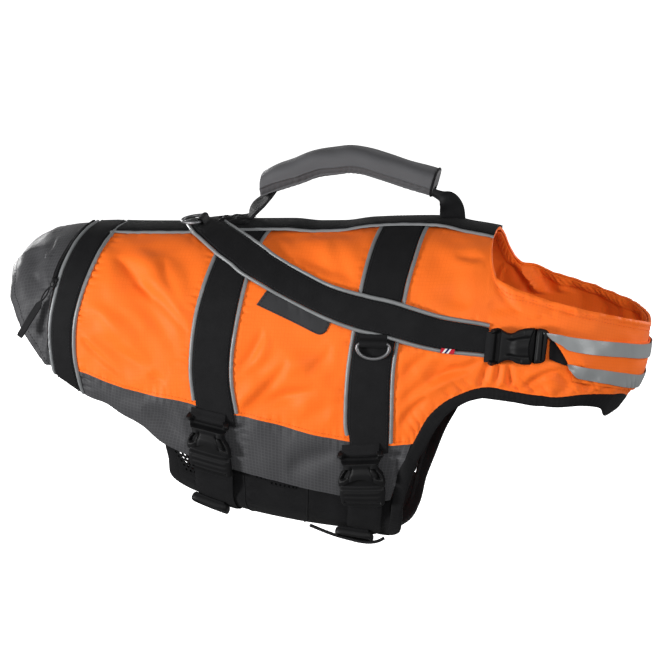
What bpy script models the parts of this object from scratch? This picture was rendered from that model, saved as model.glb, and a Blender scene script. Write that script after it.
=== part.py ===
"""A dog life jacket, worn and hollow, modelled on one smooth body surface."""

import math
from collections import namedtuple

import bmesh
import bpy
import numpy as np

MM = 0.001
BODY_FULLNESS = 2.25
NOSE_START = 205.0
NOSE_ARC = 150.0
NOSE_CENTRE = NOSE_START + NOSE_ARC
LEFT_LEG_SHIFT = 3.0

Section = namedtuple("Section", "station crest half_width widest_z bottom_z")
SECTIONS = (
    Section(-352, -62, 40, -100, -150),
    Section(-340, -40, 56, -96, -158),
    Section(-325, -20, 68, -90, -168),
    Section(-306, -8, 77, -86, -182),
    Section(-285, -2, 84, -86, -195),
    Section(-256, 0.5, 90, -88, -212),
    Section(-210, 1, 97, -96, -240),
    Section(-130, 2.5, 104, -112, -278),
    Section(-50, 4.5, 107, -124, -296),
    Section(0, 6, 108, -128, -302),
    Section(50, 9, 106, -126, -308),
    Section(100, 10, 102, -120, -302),
    Section(150, 4, 97, -108, -284),
    Section(205, -10, 92, -100, -262),
)
FrontRow = namedtuple("FrontRow", "height reach")
FRONT_PROFILE = (
    FrontRow(-200, 252),
    FrontRow(-162, 278),
    FrontRow(-151, 287),
    FrontRow(-132, 295.5),
    FrontRow(-104, 300),
    FrontRow(-86, 302),
    FrontRow(-40, 299),
)


def smooth(at, knots, values):
    """Reads a smooth curve through (knots, values), with slopes taken from each knot's neighbours."""
    at = np.clip(np.asarray(at, float), knots[0], knots[-1])
    knots = np.asarray(knots, float)
    values = np.asarray(values, float)
    slopes = np.gradient(values, knots)
    index = np.clip(np.searchsorted(knots, at, side="right") - 1, 0, len(knots) - 2)
    span = knots[index + 1] - knots[index]
    t = (at - knots[index]) / span
    rise = values[index + 1] - values[index]
    cubic = (slopes[index] + slopes[index + 1]) * span - 2 * rise
    square = rise - slopes[index] * span - cubic
    return values[index] + t * (slopes[index] * span + t * (square + t * cubic))


def folded(station):
    """The same station counted on the right side, for one that has carried on past the centre front."""
    return NOSE_CENTRE - np.abs(NOSE_CENTRE - np.asarray(station, float))


def left_shift(station, angle):
    """How far forward the left leg opening sits of the right one, so that the jacket hangs a little skewed."""
    down = 180 - np.abs(180 - np.abs(np.asarray(angle, float)) % 360)
    low = np.clip((down - 104) / 24, 0, 1) * np.clip((180 - down) / 20, 0, 1)
    run = np.clip((station - 12) / 44, 0, 1) * np.clip((190 - station) / 80, 0, 1)
    return LEFT_LEG_SHIFT * low * run * run * (3 - 2 * run)


def body_point(station, angle):
    """The garment's outer skin at a station along the back and an angle from the spine, right side positive."""
    station = np.asarray(station, float)
    turn = np.radians(np.asarray(angle, float))
    past_front = station > NOSE_CENTRE
    station = folded(station)
    left = np.where(past_front, -1.0, 1.0) * np.sin(turn) < 0
    station = station + left_shift(station, angle) * left
    knots = [row.station for row in SECTIONS]
    crest, half_width, widest, bottom = (
        smooth(station, knots, [getattr(row, name) for row in SECTIONS])
        for name in ("crest", "half_width", "widest_z", "bottom_z")
    )
    height = np.where(np.cos(turn) > 0, crest - widest, widest - bottom)
    radius = (
        np.abs(np.sin(turn) / half_width) ** BODY_FULLNESS
        + np.abs(np.cos(turn) / height) ** BODY_FULLNESS
    ) ** (-1 / BODY_FULLNESS)
    z = widest + radius * np.cos(turn)
    reach = smooth(z, [row.height for row in FRONT_PROFILE], [row.reach for row in FRONT_PROFILE])
    swing = np.clip((station - NOSE_START) / NOSE_ARC, 0, 1.2) * math.pi / 2
    x = np.minimum(station, NOSE_START) + (reach - NOSE_START) * np.sin(swing)
    y = np.where(past_front, 1.0, -1.0) * radius * np.sin(turn) * np.cos(swing)
    return np.stack([x, y, z], axis=-1)


# Cloth, webbing and trim, in millimetres.
FOAM_WALL = 6.0
COLLAR_WALL = 2.4
FLANK_WALL = 4.0
RUMP_WALL = 3.0
BELLY_WALL = 4.0
WEBBING = 1.8
PIPING_WIDTH = 4.0
PIPING_HEIGHT = 2.0
SEAM_GAP = 0.3
LAYER_GAP = 0.5
LAYER_STEP = WEBBING + LAYER_GAP + 0.2
HALF_SEAM_ANGLE = 0.08
COVER_FULL = 14.0
COVER_FADE = 16.0

CrossRow = namedtuple("CrossRow", "a_station a_angle b_station b_angle bow", defaults=(0,))

SeamKnot = namedtuple("SeamKnot", "station angle")
FLANK_SEAM = (
    SeamKnot(-290, 120.2),
    SeamKnot(-262, 120.4),
    SeamKnot(-226, 121.6),
    SeamKnot(-195, 121.2),
    SeamKnot(-163, 119.2),
    SeamKnot(-120, 119.4),
    SeamKnot(-75, 119.2),
    SeamKnot(-40, 120.8),
    SeamKnot(0, 123.2),
    SeamKnot(55, 127.2),
    SeamKnot(90, 127.6),
)

BOTTOM_EDGE = (
    SeamKnot(54.5, 149.7),
    SeamKnot(61, 140),
    SeamKnot(70.7, 132.6),
    SeamKnot(81.1, 124.6),
    SeamKnot(92.2, 116.6),
    SeamKnot(106, 111.2),
    SeamKnot(128, 108.2),
    SeamKnot(148, 108.2),
    SeamKnot(177, 113.6),
    SeamKnot(208, 118.6),
    SeamKnot(253, 118.2),
    SeamKnot(290, 119.4),
    SeamKnot(318, 121),
    SeamKnot(340, 123.4),
    SeamKnot(355, 124.4),
)
SEAM_MEETS_LEG = 78.6

SIDE_ROWS = (
    CrossRow(-243, 0, -275.3, 120.2, -5.7),
    CrossRow(-205, 0, -215, 121.5, -8),
    CrossRow(-120, 0, -141, 119.4, -8),
    CrossRow(-40, 0, -58, 120.0, -4),
    CrossRow(30, 0, 10, 124.0),
    CrossRow(92, 0, 62, 127.4),
    CrossRow(128, 0, 79, 126.6),
    CrossRow(148, 0, 89, 119.0),
    CrossRow(149, 18, 104, 111.6),
    CrossRow(151, 33, 121, 108.8),
    CrossRow(155, 43, 138, 107.6),
    CrossRow(162, 49, 154, 108.6),
    CrossRow(190, 57, 179, 113.4),
    CrossRow(219, 62.8, 208, 118.4),
    CrossRow(263, 69.7, 253, 118.0),
    CrossRow(310, 76.5, 305, 120.0),
    CrossRow(354.85, 82, 354.85, 124.2),
)
FLANK_ROWS = (
    CrossRow(-275.5, 120.4, -272, 131.0),
    CrossRow(-258, 120.2, -256, 133.8),
    CrossRow(-226, 121.8, -230, 135.2),
    CrossRow(-195, 121.4, -198, 138.2),
    CrossRow(-163, 119.4, -177, 143.0),
    CrossRow(-141, 119.6, -150, 144.3),
    CrossRow(-95, 119.6, -93, 144.8),
    CrossRow(-58, 120.2, -61, 145.7),
    CrossRow(-4, 123.0, -8, 147.7),
    CrossRow(55, 127.4, 44, 149.8),
    CrossRow(76.2, 127.6, 52.5, 149.6, -4.5),
)
RUMP_ROWS = (
    CrossRow(-267.1, 0, -345, 0),
    CrossRow(-270.2, 17, -341, 17),
    CrossRow(-277.2, 37, -337, 37),
    CrossRow(-283.7, 50, -335.5, 50),
    CrossRow(-287.6, 60, -335.5, 60),
    CrossRow(-286.4, 67, -335, 67),
    CrossRow(-289.6, 81, -329, 81),
    CrossRow(-292.6, 97, -322, 97),
    CrossRow(-292, 112, -309, 112),
    CrossRow(-290, 122, -297, 122),
)
ZIP_ROWS = (
    CrossRow(-266.6, 0, -244.2, 0),
    CrossRow(-269.7, 17, -251.8, 17),
    CrossRow(-276.7, 37, -258.6, 37),
    CrossRow(-283.2, 50, -262.9, 50),
    CrossRow(-287.1, 60, -265.8, 60),
    CrossRow(-285.9, 67, -268.2, 67),
    CrossRow(-289.1, 81, -272.2, 81),
    CrossRow(-292.1, 97, -276.2, 97),
    CrossRow(-291.5, 112, -277, 112),
    CrossRow(-288.6, 124, -276.6, 124),
)
BAND_ROWS = (
    CrossRow(-259, 0, -227, 0),
    CrossRow(-263.4, 20, -233, 20),
    CrossRow(-271.4, 40, -240.8, 40),
    CrossRow(-278.6, 57, -249.2, 57),
    CrossRow(-283, 71, -255.8, 71),
    CrossRow(-288, 87, -262, 87),
    CrossRow(-289.5, 100, -264, 100),
    CrossRow(-289, 113, -263.7, 113),
    CrossRow(-287, 124, -260, 127),
    CrossRow(-285.6, 126.2, -257.5, 133),
)
STRIP_ROWS = (
    CrossRow(-224.4, -22, -224.4, 22),
    CrossRow(-186, -20, -186, 20),
    CrossRow(-130, -17.5, -130, 17.5),
    CrossRow(-60, -15, -60, 15),
    CrossRow(0, -13.5, 0, 13.5),
    CrossRow(43, -11.6, 43, 11.6),
    CrossRow(83, -12.4, 83, 12.4),
    CrossRow(125, -15.6, 125, 15.6),
    CrossRow(149, -17.6, 149, 17.6),
)
REAR_GIRTH_ROWS = (
    CrossRow(-112, 0, -70, 0),
    CrossRow(-116.5, 17, -77.9, 17),
    CrossRow(-125.2, 38.5, -86.5, 38.5),
    CrossRow(-132.8, 55.6, -92.5, 55.6),
    CrossRow(-138.6, 71, -97.2, 71),
    CrossRow(-142.3, 88, -101.5, 88),
    CrossRow(-143.5, 103, -102, 103),
    CrossRow(-141, 117, -98, 117),
    CrossRow(-139.2, 128.5, -95.6, 128.5),
)
FRONT_GIRTH_ROWS = (
    CrossRow(38, 0, 84, 0),
    CrossRow(35.4, 14, 81.2, 14),
    CrossRow(30, 32, 76.6, 32),
    CrossRow(25.2, 48, 70.4, 48),
    CrossRow(20, 68, 65, 68),
    CrossRow(14.4, 90, 59.2, 90),
    CrossRow(11.8, 114, 57.4, 114),
    CrossRow(13.2, 123, 56.6, 123),
    CrossRow(13.6, 133.5, 55.4, 133.5),
)
SHOULDER_ROWS = (
    CrossRow(-128, 0, -166, 0),
    CrossRow(-124, 7.6, -160, 11),
    CrossRow(-109, 17.6, -148, 24),
    CrossRow(-90.3, 25.6, -125, 35.2),
    CrossRow(-73.3, 31.2, -107, 41.2),
    CrossRow(-59, 35.5, -89, 46.9),
    CrossRow(-6, 47, -30, 58.7),
    CrossRow(31.5, 52, 19.6, 67.3),
    CrossRow(66.5, 56.5, 55, 72.2),
    CrossRow(133.8, 69.4, 122, 85),
    CrossRow(153, 73.4, 150, 90.4),
)
LEG_ROWS = (
    CrossRow(147.6, 108.2, 147.6, 114.2),
    CrossRow(128, 108.2, 131, 114.1),
    CrossRow(106, 111.2, 114, 117),
    CrossRow(92.2, 116.6, 102, 122.5),
    CrossRow(81.1, 124.6, 91.5, 129.5),
    CrossRow(70.7, 132.6, 81, 136.5),
    CrossRow(61, 140, 72, 145),
    CrossRow(54.5, 149.7, 65, 152.2),
    CrossRow(50, 158, 62, 159.5),
    CrossRow(44, 166, 56, 168),
    CrossRow(31, 173, 42, 175.5),
    CrossRow(26, 180, 37, 180),
)
COLLAR_BINDING_ROWS = (
    CrossRow(148.1, 108.4, 148.1, 114.4),
    CrossRow(177, 113.8, 177, 119.6),
    CrossRow(208, 118.8, 208, 124.4),
    CrossRow(253, 118.4, 253, 124.6),
    CrossRow(290, 119.4, 286, 127),
    CrossRow(318, 121, 312, 132.4),
    CrossRow(340, 123.4, 338, 131),
    CrossRow(NOSE_CENTRE, 124.6, NOSE_CENTRE, 131),
)
BELLY_ROWS = (
    CrossRow(-176, 133, 44, 133),
    CrossRow(-176.5, 143, 48, 143),
    CrossRow(-176, 150, 52, 150),
    CrossRow(-175, 158, 49, 158),
    CrossRow(-172, 166, 43, 166),
    CrossRow(-160, 173, 30, 173),
    CrossRow(-150, 180, 25, 180),
)
COLLAR_BAND_ROWS = (
    CrossRow(212.8, 84.2, 232, 108.0, 4),
    CrossRow(222, 84.6, 241, 109.0, 3),
    CrossRow(250, 86.6, 266, 111.4, 1),
    CrossRow(286, 89.0, 296, 114),
    CrossRow(326, 91.6, 330, 116.4),
    CrossRow(NOSE_CENTRE, 92.4, NOSE_CENTRE, 117.4),
)
CASING_ROWS = (
    CrossRow(145, 20, 136, 20),
    CrossRow(147.4, 34, 139, 37),
    CrossRow(152, 44.5, 145, 49),
    CrossRow(160, 51, 156, 57),
    CrossRow(190, 58.4, 188, 65),
    CrossRow(219, 64.2, 219, 71),
    CrossRow(263, 71, 263, 78.4),
    CrossRow(310, 77.9, 310, 85.6),
    CrossRow(NOSE_CENTRE, 83.4, NOSE_CENTRE, 91),
)

Fold = namedtuple("Fold", "from_station from_angle to_station to_angle width depth")
FOLDS = (
    Fold(-222, 42, -158, 96, 13, -6.8),
    Fold(-205, 38, -152, 66, 11, 4.5),
    Fold(-246, 98, -166, 108, 12, -5.2),
    Fold(-238, 78, -180, 112, 10, 3.8),
    Fold(-84, 92, -30, 112, 12, -5.2),
    Fold(-70, 76, 2, 100, 11, 3.8),
    Fold(-52, 34, 20, 44, 12, -4.5),
    Fold(92, 98, 128, 78, 12, -6.0),
    Fold(74, 106, 118, 96, 10, 4.5),
    Fold(96, 30, 132, 62, 13, -5.2),
    Fold(152, 60, 196, 76, 11, -5.2),
    Fold(176, 98, 240, 112, 9, 4.5),
    Fold(208, 104, 262, 116, 9, -5.2),
    Fold(226, 66, 330, 84, 10, -3.8),
    Fold(-150, 130, -60, 134, 10, -3.0),
    Fold(-314, 30, -300, 96, 10, -5.2),
    Fold(-326, 20, -322, 74, 8, 3.8),
    Fold(-300, 96, -322, 84, 8, 3.0),
)
GATHER_PITCH = 26.0
GATHER_HEIGHT = 1.8
GATHER_REACH = 16.0


def lifted(station, angle, lift):
    """Body points moved outward by lift millimetres."""
    along = body_point(station + 1.0, angle) - body_point(station - 1.0, angle)
    around = body_point(station, angle + 0.5) - body_point(station, angle - 0.5)
    normal = np.cross(around, along)
    normal /= np.linalg.norm(normal, axis=-1, keepdims=True)
    return body_point(station, angle) + normal * np.asarray(lift)[..., None]


def panel_wall(station):
    """Thickness of a side panel: foam over the chest, plain cloth in the collar."""
    return COLLAR_WALL + (FOAM_WALL - COLLAR_WALL) * rise(station, 98, 40)


def edge_angle(station):
    """Angle of the line where the side panels meet the leg and collar bindings."""
    return smooth(folded(station), [knot.station for knot in BOTTOM_EDGE], [knot.angle for knot in BOTTOM_EDGE])


def rise(distance, full, fade):
    """One where distance is at most full, falling smoothly to nought at fade beyond it."""
    t = np.clip((full + fade - distance) / fade, 0, 1)
    return t * t * (3 - 2 * t)


def girth_distance(station, angle, rows):
    """Millimetres that a spot lies outside a girth strap, negative on the strap."""
    angles = [row.a_angle for row in rows]
    rear = smooth(np.abs(angle), angles, [row.a_station for row in rows])
    front = smooth(np.abs(angle), angles, [row.b_station for row in rows])
    return np.maximum(rear - station, station - front)


def spine_distance(station, angle):
    """Millimetres that a spot lies outside the back strip."""
    half = smooth(station, [row.b_station for row in STRIP_ROWS], [row.b_angle for row in STRIP_ROWS])
    return (np.abs(angle) - half) * 2.1


def shoulder_distance(station, angle):
    """Millimetres that a spot lies outside the shoulder strap, measured along the girth."""
    upper = smooth(station, [row.a_station for row in SHOULDER_ROWS], [row.a_angle for row in SHOULDER_ROWS])
    lower = smooth(station, [row.b_station for row in SHOULDER_ROWS], [row.b_angle for row in SHOULDER_ROWS])
    off = np.maximum(upper - np.abs(angle), np.abs(angle) - lower) * 1.9
    return np.maximum(off, station - 215)


def girth_cover(station, angle):
    """How far the girth straps lift what crosses them, from nought to one."""
    covers = [
        rise(girth_distance(station, angle, rows), COVER_FULL, COVER_FADE)
        for rows in (REAR_GIRTH_ROWS, FRONT_GIRTH_ROWS)
    ]
    return np.maximum(*covers)


def relief(station, angle):
    """Folds of the cloth, held flat under the straps."""
    spot = 180 - np.abs(180 - np.abs(angle))
    station = folded(station)
    total = np.zeros_like(station, dtype=float)
    for fold in FOLDS:
        start = np.array([fold.from_station, fold.from_angle * 1.9])
        run = np.array([fold.to_station, fold.to_angle * 1.9]) - start
        length = math.hypot(*run)
        off = np.stack([station, spot * 1.9], axis=-1) - start
        t = off @ run / length**2
        across = (off[..., 0] * run[1] - off[..., 1] * run[0]) / length
        ends = np.clip(1.5 - np.abs(t - 0.5) * 3, 0, 1)
        total += fold.depth * np.exp(-((across / fold.width) ** 2)) * ends * ends * (3 - 2 * ends)
    held = np.maximum.reduce(
        [
            rise(girth_distance(station, angle, REAR_GIRTH_ROWS), 5, 14),
            rise(girth_distance(station, angle, FRONT_GIRTH_ROWS), 5, 14),
            rise(spine_distance(station, angle), 5, 14),
            rise(shoulder_distance(station, angle), 5, 14),
            rise(np.abs(station + 274) - 15, 5, 12),
        ]
    )
    return total * (1 - held)


def spread(rows, along, across, start=(0, 0.0), end=(1, 0.0), snap=None):
    """A grid of (station, angle) spots between two edges, evenly spaced along them.

    start and end place the grid's sides: edge a is 0 and edge b is 1, plus millimetres towards b.
    """
    knots = np.arange(len(rows), dtype=float)
    columns = {name: [getattr(row, name) for row in rows] for name in CrossRow._fields}

    def edges(t):
        return [smooth(t, knots, columns[name]) for name in CrossRow._fields]

    fine = np.linspace(0, knots[-1], 240)
    a_s, a_a, b_s, b_a, _ = edges(fine)
    length = sum(
        np.linalg.norm(np.diff(body_point(a_s + (b_s - a_s) * u, a_a + (b_a - a_a) * u), axis=0), axis=1)
        for u in (0, 0.5, 1)
    )
    travelled = np.concatenate([[0], np.cumsum(length)])
    t = np.interp(np.linspace(0, travelled[-1], along + 1), travelled, fine)
    a_s, a_a, b_s, b_a, bow = edges(t)
    if snap:
        a_a, b_a = snap(a_s, a_a, b_s, b_a)
    width = np.linalg.norm(body_point(a_s, a_a) - body_point(b_s, b_a), axis=-1)
    low = start[0] + start[1] / width
    high = end[0] + end[1] / width
    u = low[:, None] + (high - low)[:, None] * np.linspace(0, 1, across + 1)
    station = a_s[:, None] + (b_s - a_s)[:, None] * u + bow[:, None] * 4 * u * (1 - u)
    angle = a_a[:, None] + (b_a - a_a)[:, None] * u
    return station, angle


def saddle(rows):
    """Rows from the spine down the right side, carried over to the left side too."""
    left = [row._replace(a_angle=-row.a_angle, b_angle=-row.b_angle) for row in reversed(rows[1:])]
    return tuple(left) + tuple(rows)


def hammock(rows):
    """Rows from the right side down to the belly line, carried up the left side too."""
    left = [row._replace(a_angle=360 - row.a_angle, b_angle=360 - row.b_angle) for row in reversed(rows[:-1])]
    return tuple(rows) + tuple(left)


def wrap_front(rows):
    """Rows along the right side to the centre front, carried back along the left side too."""
    span = 2 * NOSE_CENTRE
    left = [
        row._replace(a_station=span - row.a_station, b_station=span - row.b_station)
        for row in reversed(rows[:-1])
    ]
    return tuple(rows) + tuple(left)


def material(name, colour, roughness, metallic=0.0):
    """A plain finish for one kind of piece."""
    finish = bpy.data.materials.new(name)
    finish.use_nodes = True
    shader = finish.node_tree.nodes["Principled BSDF"]
    shader.inputs["Base Color"].default_value = (*colour, 1)
    shader.inputs["Roughness"].default_value = roughness
    shader.inputs["Metallic"].default_value = metallic
    return finish


def solid(name, points, faces, finish, smooth_degrees=40):
    """One closed named object from points in millimetres."""
    mesh = bpy.data.meshes.new(name)
    mesh.from_pydata((np.asarray(points, float) * MM).tolist(), [], faces)
    body = bmesh.new()
    body.from_mesh(mesh)
    bmesh.ops.recalc_face_normals(body, faces=body.faces)
    body.to_mesh(mesh)
    body.free()
    mesh.materials.append(finish)
    mesh.shade_smooth()
    mesh.set_sharp_from_angle(angle=math.radians(smooth_degrees))
    made = bpy.data.objects.new(name, mesh)
    bpy.context.scene.collection.objects.link(made)
    return made


def wall(name, outer, inner, finish):
    """A closed wall between two grids of points. The inner grid may have half the cells each way."""
    rows, columns = outer.shape[:2]
    inner_rows, inner_columns = inner.shape[:2]
    step = (rows - 1) // (inner_rows - 1)
    first = rows * columns

    def out(i, j):
        return i * columns + j

    def into(i, j):
        return first + i * inner_columns + j

    faces = [
        (out(i, j), out(i + 1, j), out(i + 1, j + 1), out(i, j + 1))
        for i in range(rows - 1)
        for j in range(columns - 1)
    ]
    faces += [
        (into(i, j), into(i, j + 1), into(i + 1, j + 1), into(i + 1, j))
        for i in range(inner_rows - 1)
        for j in range(inner_columns - 1)
    ]
    across = (columns - 1) // (inner_columns - 1)
    for i in range(inner_rows - 1):
        for j in (0, inner_columns - 1):
            rim = [out(i * step + k, j * across) for k in range(step + 1)]
            faces.append((*rim, into(i + 1, j), into(i, j)))
    for j in range(inner_columns - 1):
        for i in (0, inner_rows - 1):
            rim = [out(i * step, j * across + k) for k in range(across + 1)]
            faces.append((*rim, into(i, j + 1), into(i, j)))
    points = np.concatenate([outer.reshape(-1, 3), inner.reshape(-1, 3)])
    return solid(name, points, faces, finish)


def loft(name, rings, finish, sharp=50):
    """A closed body through rings of points, capped at both ends."""
    count = len(rings[0])
    faces = [tuple(range(count)), tuple((len(rings) - 1) * count + k for k in range(count))]
    for i in range(len(rings) - 1):
        for k in range(count):
            a, b = i * count + k, i * count + (k + 1) % count
            faces.append((a, b, b + count, a + count))
    return solid(name, np.concatenate(rings), faces, finish, sharp)


def sheet(name, grid, finish, top, bottom, coarse=1, extra=0.0):
    """A wall that lies on the body between two lifts, over the cloth's folds."""
    station, angle = grid
    base = relief(station, angle) + extra
    outer = lifted(station, angle, base + top)
    pick = (slice(None, None, coarse), slice(None, None, coarse))
    low = np.broadcast_to(bottom, station.shape)
    inner = lifted(station[pick], angle[pick], (base + low)[pick])
    return wall(name, outer, inner, finish)


def strap(name, rows, along, across, finish, piping_finish, lift, ends=(0.0, 0.0)):
    """A webbing strap with a piping along each edge."""
    clear = PIPING_WIDTH / 2 + SEAM_GAP
    grid = spread(rows, along, across, (0, clear), (1, -clear))
    height = lift(*grid)
    sheet(name, grid, finish, WEBBING, 0.0, extra=height)
    for side, label in ((0, "rear"), (1, "front")):
        edge = spread(rows, along, 2, (side, -PIPING_WIDTH / 2), (side, PIPING_WIDTH / 2))
        crown = np.array([0.0, PIPING_HEIGHT, 0.0])
        rings = lifted(*edge, lift(*edge) + relief(*edge) + crown)
        loft(f"{name}_piping_{label}", rings, piping_finish)


def on_panel(station, angle):
    return np.full_like(station, LAYER_GAP)


def over_girths(station, angle):
    return LAYER_GAP + LAYER_STEP * girth_cover(station, angle)


def over_all(station, angle):
    strip = rise(spine_distance(station, angle), COVER_FULL, COVER_FADE)
    return LAYER_GAP + LAYER_STEP * (girth_cover(station, angle) + strip)


def tube(name, path, radius, sides, finish, closed=False, squash=None):
    """A round bar along a path of points in millimetres."""
    path = np.asarray(path, float)
    count = len(path)
    if closed:
        tangent = np.roll(path, -1, axis=0) - np.roll(path, 1, axis=0)
    else:
        tangent = np.gradient(path, axis=0)
    tangent /= np.linalg.norm(tangent, axis=1, keepdims=True)
    spread_axes = np.linalg.svd(path - path.mean(axis=0))[2]
    flat = spread_axes[2]
    points = []
    for spot, along in zip(path, tangent):
        aside = np.cross(along, flat)
        aside /= np.linalg.norm(aside)
        over = np.cross(aside, along)
        for k in range(sides):
            turn = 2 * math.pi * k / sides
            points.append(spot + radius * (math.cos(turn) * aside + math.sin(turn) * over))
    rings = count if closed else count - 1
    faces = []
    for i in range(rings):
        for k in range(sides):
            a, b = i * sides + k, i * sides + (k + 1) % sides
            c, d = ((i + 1) % count) * sides + k, ((i + 1) % count) * sides + (k + 1) % sides
            faces.append((a, b, d, c))
    if not closed:
        faces.append(tuple(range(sides)))
        faces.append(tuple((count - 1) * sides + k for k in range(sides)))
    return solid(name, points, faces, finish, 60)


def seat(station, angle, heading, lift):
    """Point, forward, side and out directions on the body. heading is degrees from down towards forward."""
    spot = lifted(np.float64(station), np.float64(angle), lift)
    step = 0.5
    down = body_point(station, angle + step) - body_point(station, angle - step)
    ahead = body_point(station + 1, angle) - body_point(station - 1, angle)
    down /= np.linalg.norm(down)
    ahead /= np.linalg.norm(ahead)
    out = np.cross(down, ahead)
    out /= np.linalg.norm(out)
    turn = math.radians(heading)
    lead = math.cos(turn) * down + math.sin(turn) * ahead
    return spot, lead, np.cross(out, lead), out


def tilted_seat(place):
    """Point, forward, side and out directions of a Seat, tipped towards the body by its tilt in degrees."""
    spot, lead, side, out = seat(place.station, place.angle, place.heading, place.lift)
    lean = math.radians(place.tilt)
    tipped = math.cos(lean) * lead - math.sin(lean) * out
    return spot, tipped, side, math.cos(lean) * out + math.sin(lean) * lead


def bend(local, station, angle, heading):
    """Takes flat (u, v, n) points onto the curved body: u along the heading, v across, n outward."""
    local = np.asarray(local, float)
    turn = math.radians(heading)
    down = local[:, 0] * math.cos(turn) - local[:, 1] * math.sin(turn)
    ahead = local[:, 0] * math.sin(turn) + local[:, 1] * math.cos(turn)
    per_degree = np.linalg.norm(body_point(station, angle + 0.5) - body_point(station, angle - 0.5))
    per_station = np.linalg.norm(body_point(station + 0.5, angle) - body_point(station - 0.5, angle))
    return lifted(station + ahead / per_station, angle + down / per_degree, local[:, 2])


def plate_points(outline, low, high, bevel):
    """Rings of a flat plate with a bevelled upper edge, and its faces."""
    outline = np.asarray(outline, float)
    after = np.roll(outline, -1, axis=0)
    if (outline[:, 0] * after[:, 1] - outline[:, 1] * after[:, 0]).sum() < 0:
        outline = outline[::-1]
    count = len(outline)
    ahead = np.roll(outline, -1, axis=0) - outline
    ahead /= np.linalg.norm(ahead, axis=1, keepdims=True)
    behind = np.roll(ahead, 1, axis=0)
    normal = np.stack([-(ahead + behind)[:, 1], (ahead + behind)[:, 0]], axis=1)
    normal /= np.linalg.norm(normal, axis=1, keepdims=True)
    stretch = 1 / np.maximum(np.abs((normal * np.stack([-ahead[:, 1], ahead[:, 0]], axis=1)).sum(axis=1)), 0.5)
    inward = outline + normal * (bevel * stretch)[:, None]
    rings = [(outline, low), (outline, high - bevel), (inward, high)]
    points = [(*spot, height) for ring, height in rings for spot in ring]
    faces = [tuple(range(count)), tuple(2 * count + k for k in range(count))]
    for ring in range(2):
        for k in range(count):
            a, b = ring * count + k, ring * count + (k + 1) % count
            faces.append((a, b, b + count, a + count))
    return points, faces


def mirrored_outline(half):
    """A closed outline from its half on the +v side."""
    return [*half, *[(u, -v) for u, v in reversed(half)]]


def plate(name, outline, low, high, bevel, place, finish):
    """A bevelled plate bent onto the body at place (station, angle, heading)."""
    points, faces = plate_points(outline, low, high, bevel)
    return solid(name, bend(points, *place), faces, finish, 30)


# Hard parts, in millimetres.
BUCKLE_THICKNESS = 8.0
BUCKLE_BEVEL = 2.2
BUCKLE_LIFT = 3.2
RING_WIRE = 2.1
RING_WIDTH = 32.0
KEEPER_CLOTH = 1.2
WRAP_WIDTH = 42.0
WRAP_HEIGHT = 27.0
WRAP_SLOT = (28.4, 8.0)
WRAP_SLOT_DROP = 8.0
WRAP_SIDES = 12
WRAP_SQUARENESS = 4.0
HANDLE_WEB_WIDTH = 26.0
HANDLE_WEB_THICKNESS = 3.2
CORD_DIAMETER = 3.5

Buckle = namedtuple("Buckle", "name station angle heading width length")
BUCKLES = (
    Buckle("belly_buckle_rear", -125.5, 122.4, 0, 44, 54),
    Buckle("belly_buckle_front", 26.5, 127.8, 0, 46, 54),
    Buckle("neck_buckle", 153, 85.4, 84, 36, 58),
)
FEMALE_SHARE = 0.56

Seat = namedtuple("Seat", "name station angle heading lift tilt depth")
RING_SEATS = (
    Seat("leash", -146.5, 8.5, -90, 8.6, 4, 20.5),
    Seat("side_right", 40, 74.8, 0, 6.6, 8, 15.0),
    Seat("side_left", 40, -74.8, 180, 6.6, 8, 15.0),
)
PULL_SEAT = Seat("zip_pull", -287.5, 68.2, -32, 6.4, 0, 59.0)

HandleSpot = namedtuple("HandleSpot", "x z twist")
HANDLE_LEG_REAR = (
    HandleSpot(-114, None, 0),
    HandleSpot(-107, None, 0),
    HandleSpot(-101, 14.5, 12),
    HandleSpot(-97, 20.5, 14),
    HandleSpot(-93, 27.0, 6),
)
HANDLE_ARCH = (
    HandleSpot(-88.5, 43.6, 0),
    HandleSpot(-75, 50, 0),
    HandleSpot(-52, 58, 0),
    HandleSpot(-30, 66, 0),
    HandleSpot(-8, 69.5, 0),
    HandleSpot(10, 69, 0),
    HandleSpot(32, 64, 0),
    HandleSpot(60, 56, 0),
    HandleSpot(87, 48.5, 0),
)
HANDLE_LEG_FRONT = (
    HandleSpot(92, 37.0, 6),
    HandleSpot(98, 31.6, 16),
    HandleSpot(102.5, 25, 24),
    HandleSpot(105, 19, 14),
    HandleSpot(111, None, 0),
    HandleSpot(118, None, 0),
)
CordSpot = namedtuple("CordSpot", "x y z")
CORD_ROUTE = (
    CordSpot(-36, -30, -296.6),
    CordSpot(-30, -31, -298.6),
    CordSpot(-21, -32, -301.8),
    CordSpot(-8, -33, -305.8),
    CordSpot(5, -33.5, -308.8),
    CordSpot(17, -34.5, -311.0),
    CordSpot(26, -34.5, -311.4),
    CordSpot(34, -33.5, -310.0),
    CordSpot(40, -32, -307.0),
)


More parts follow.
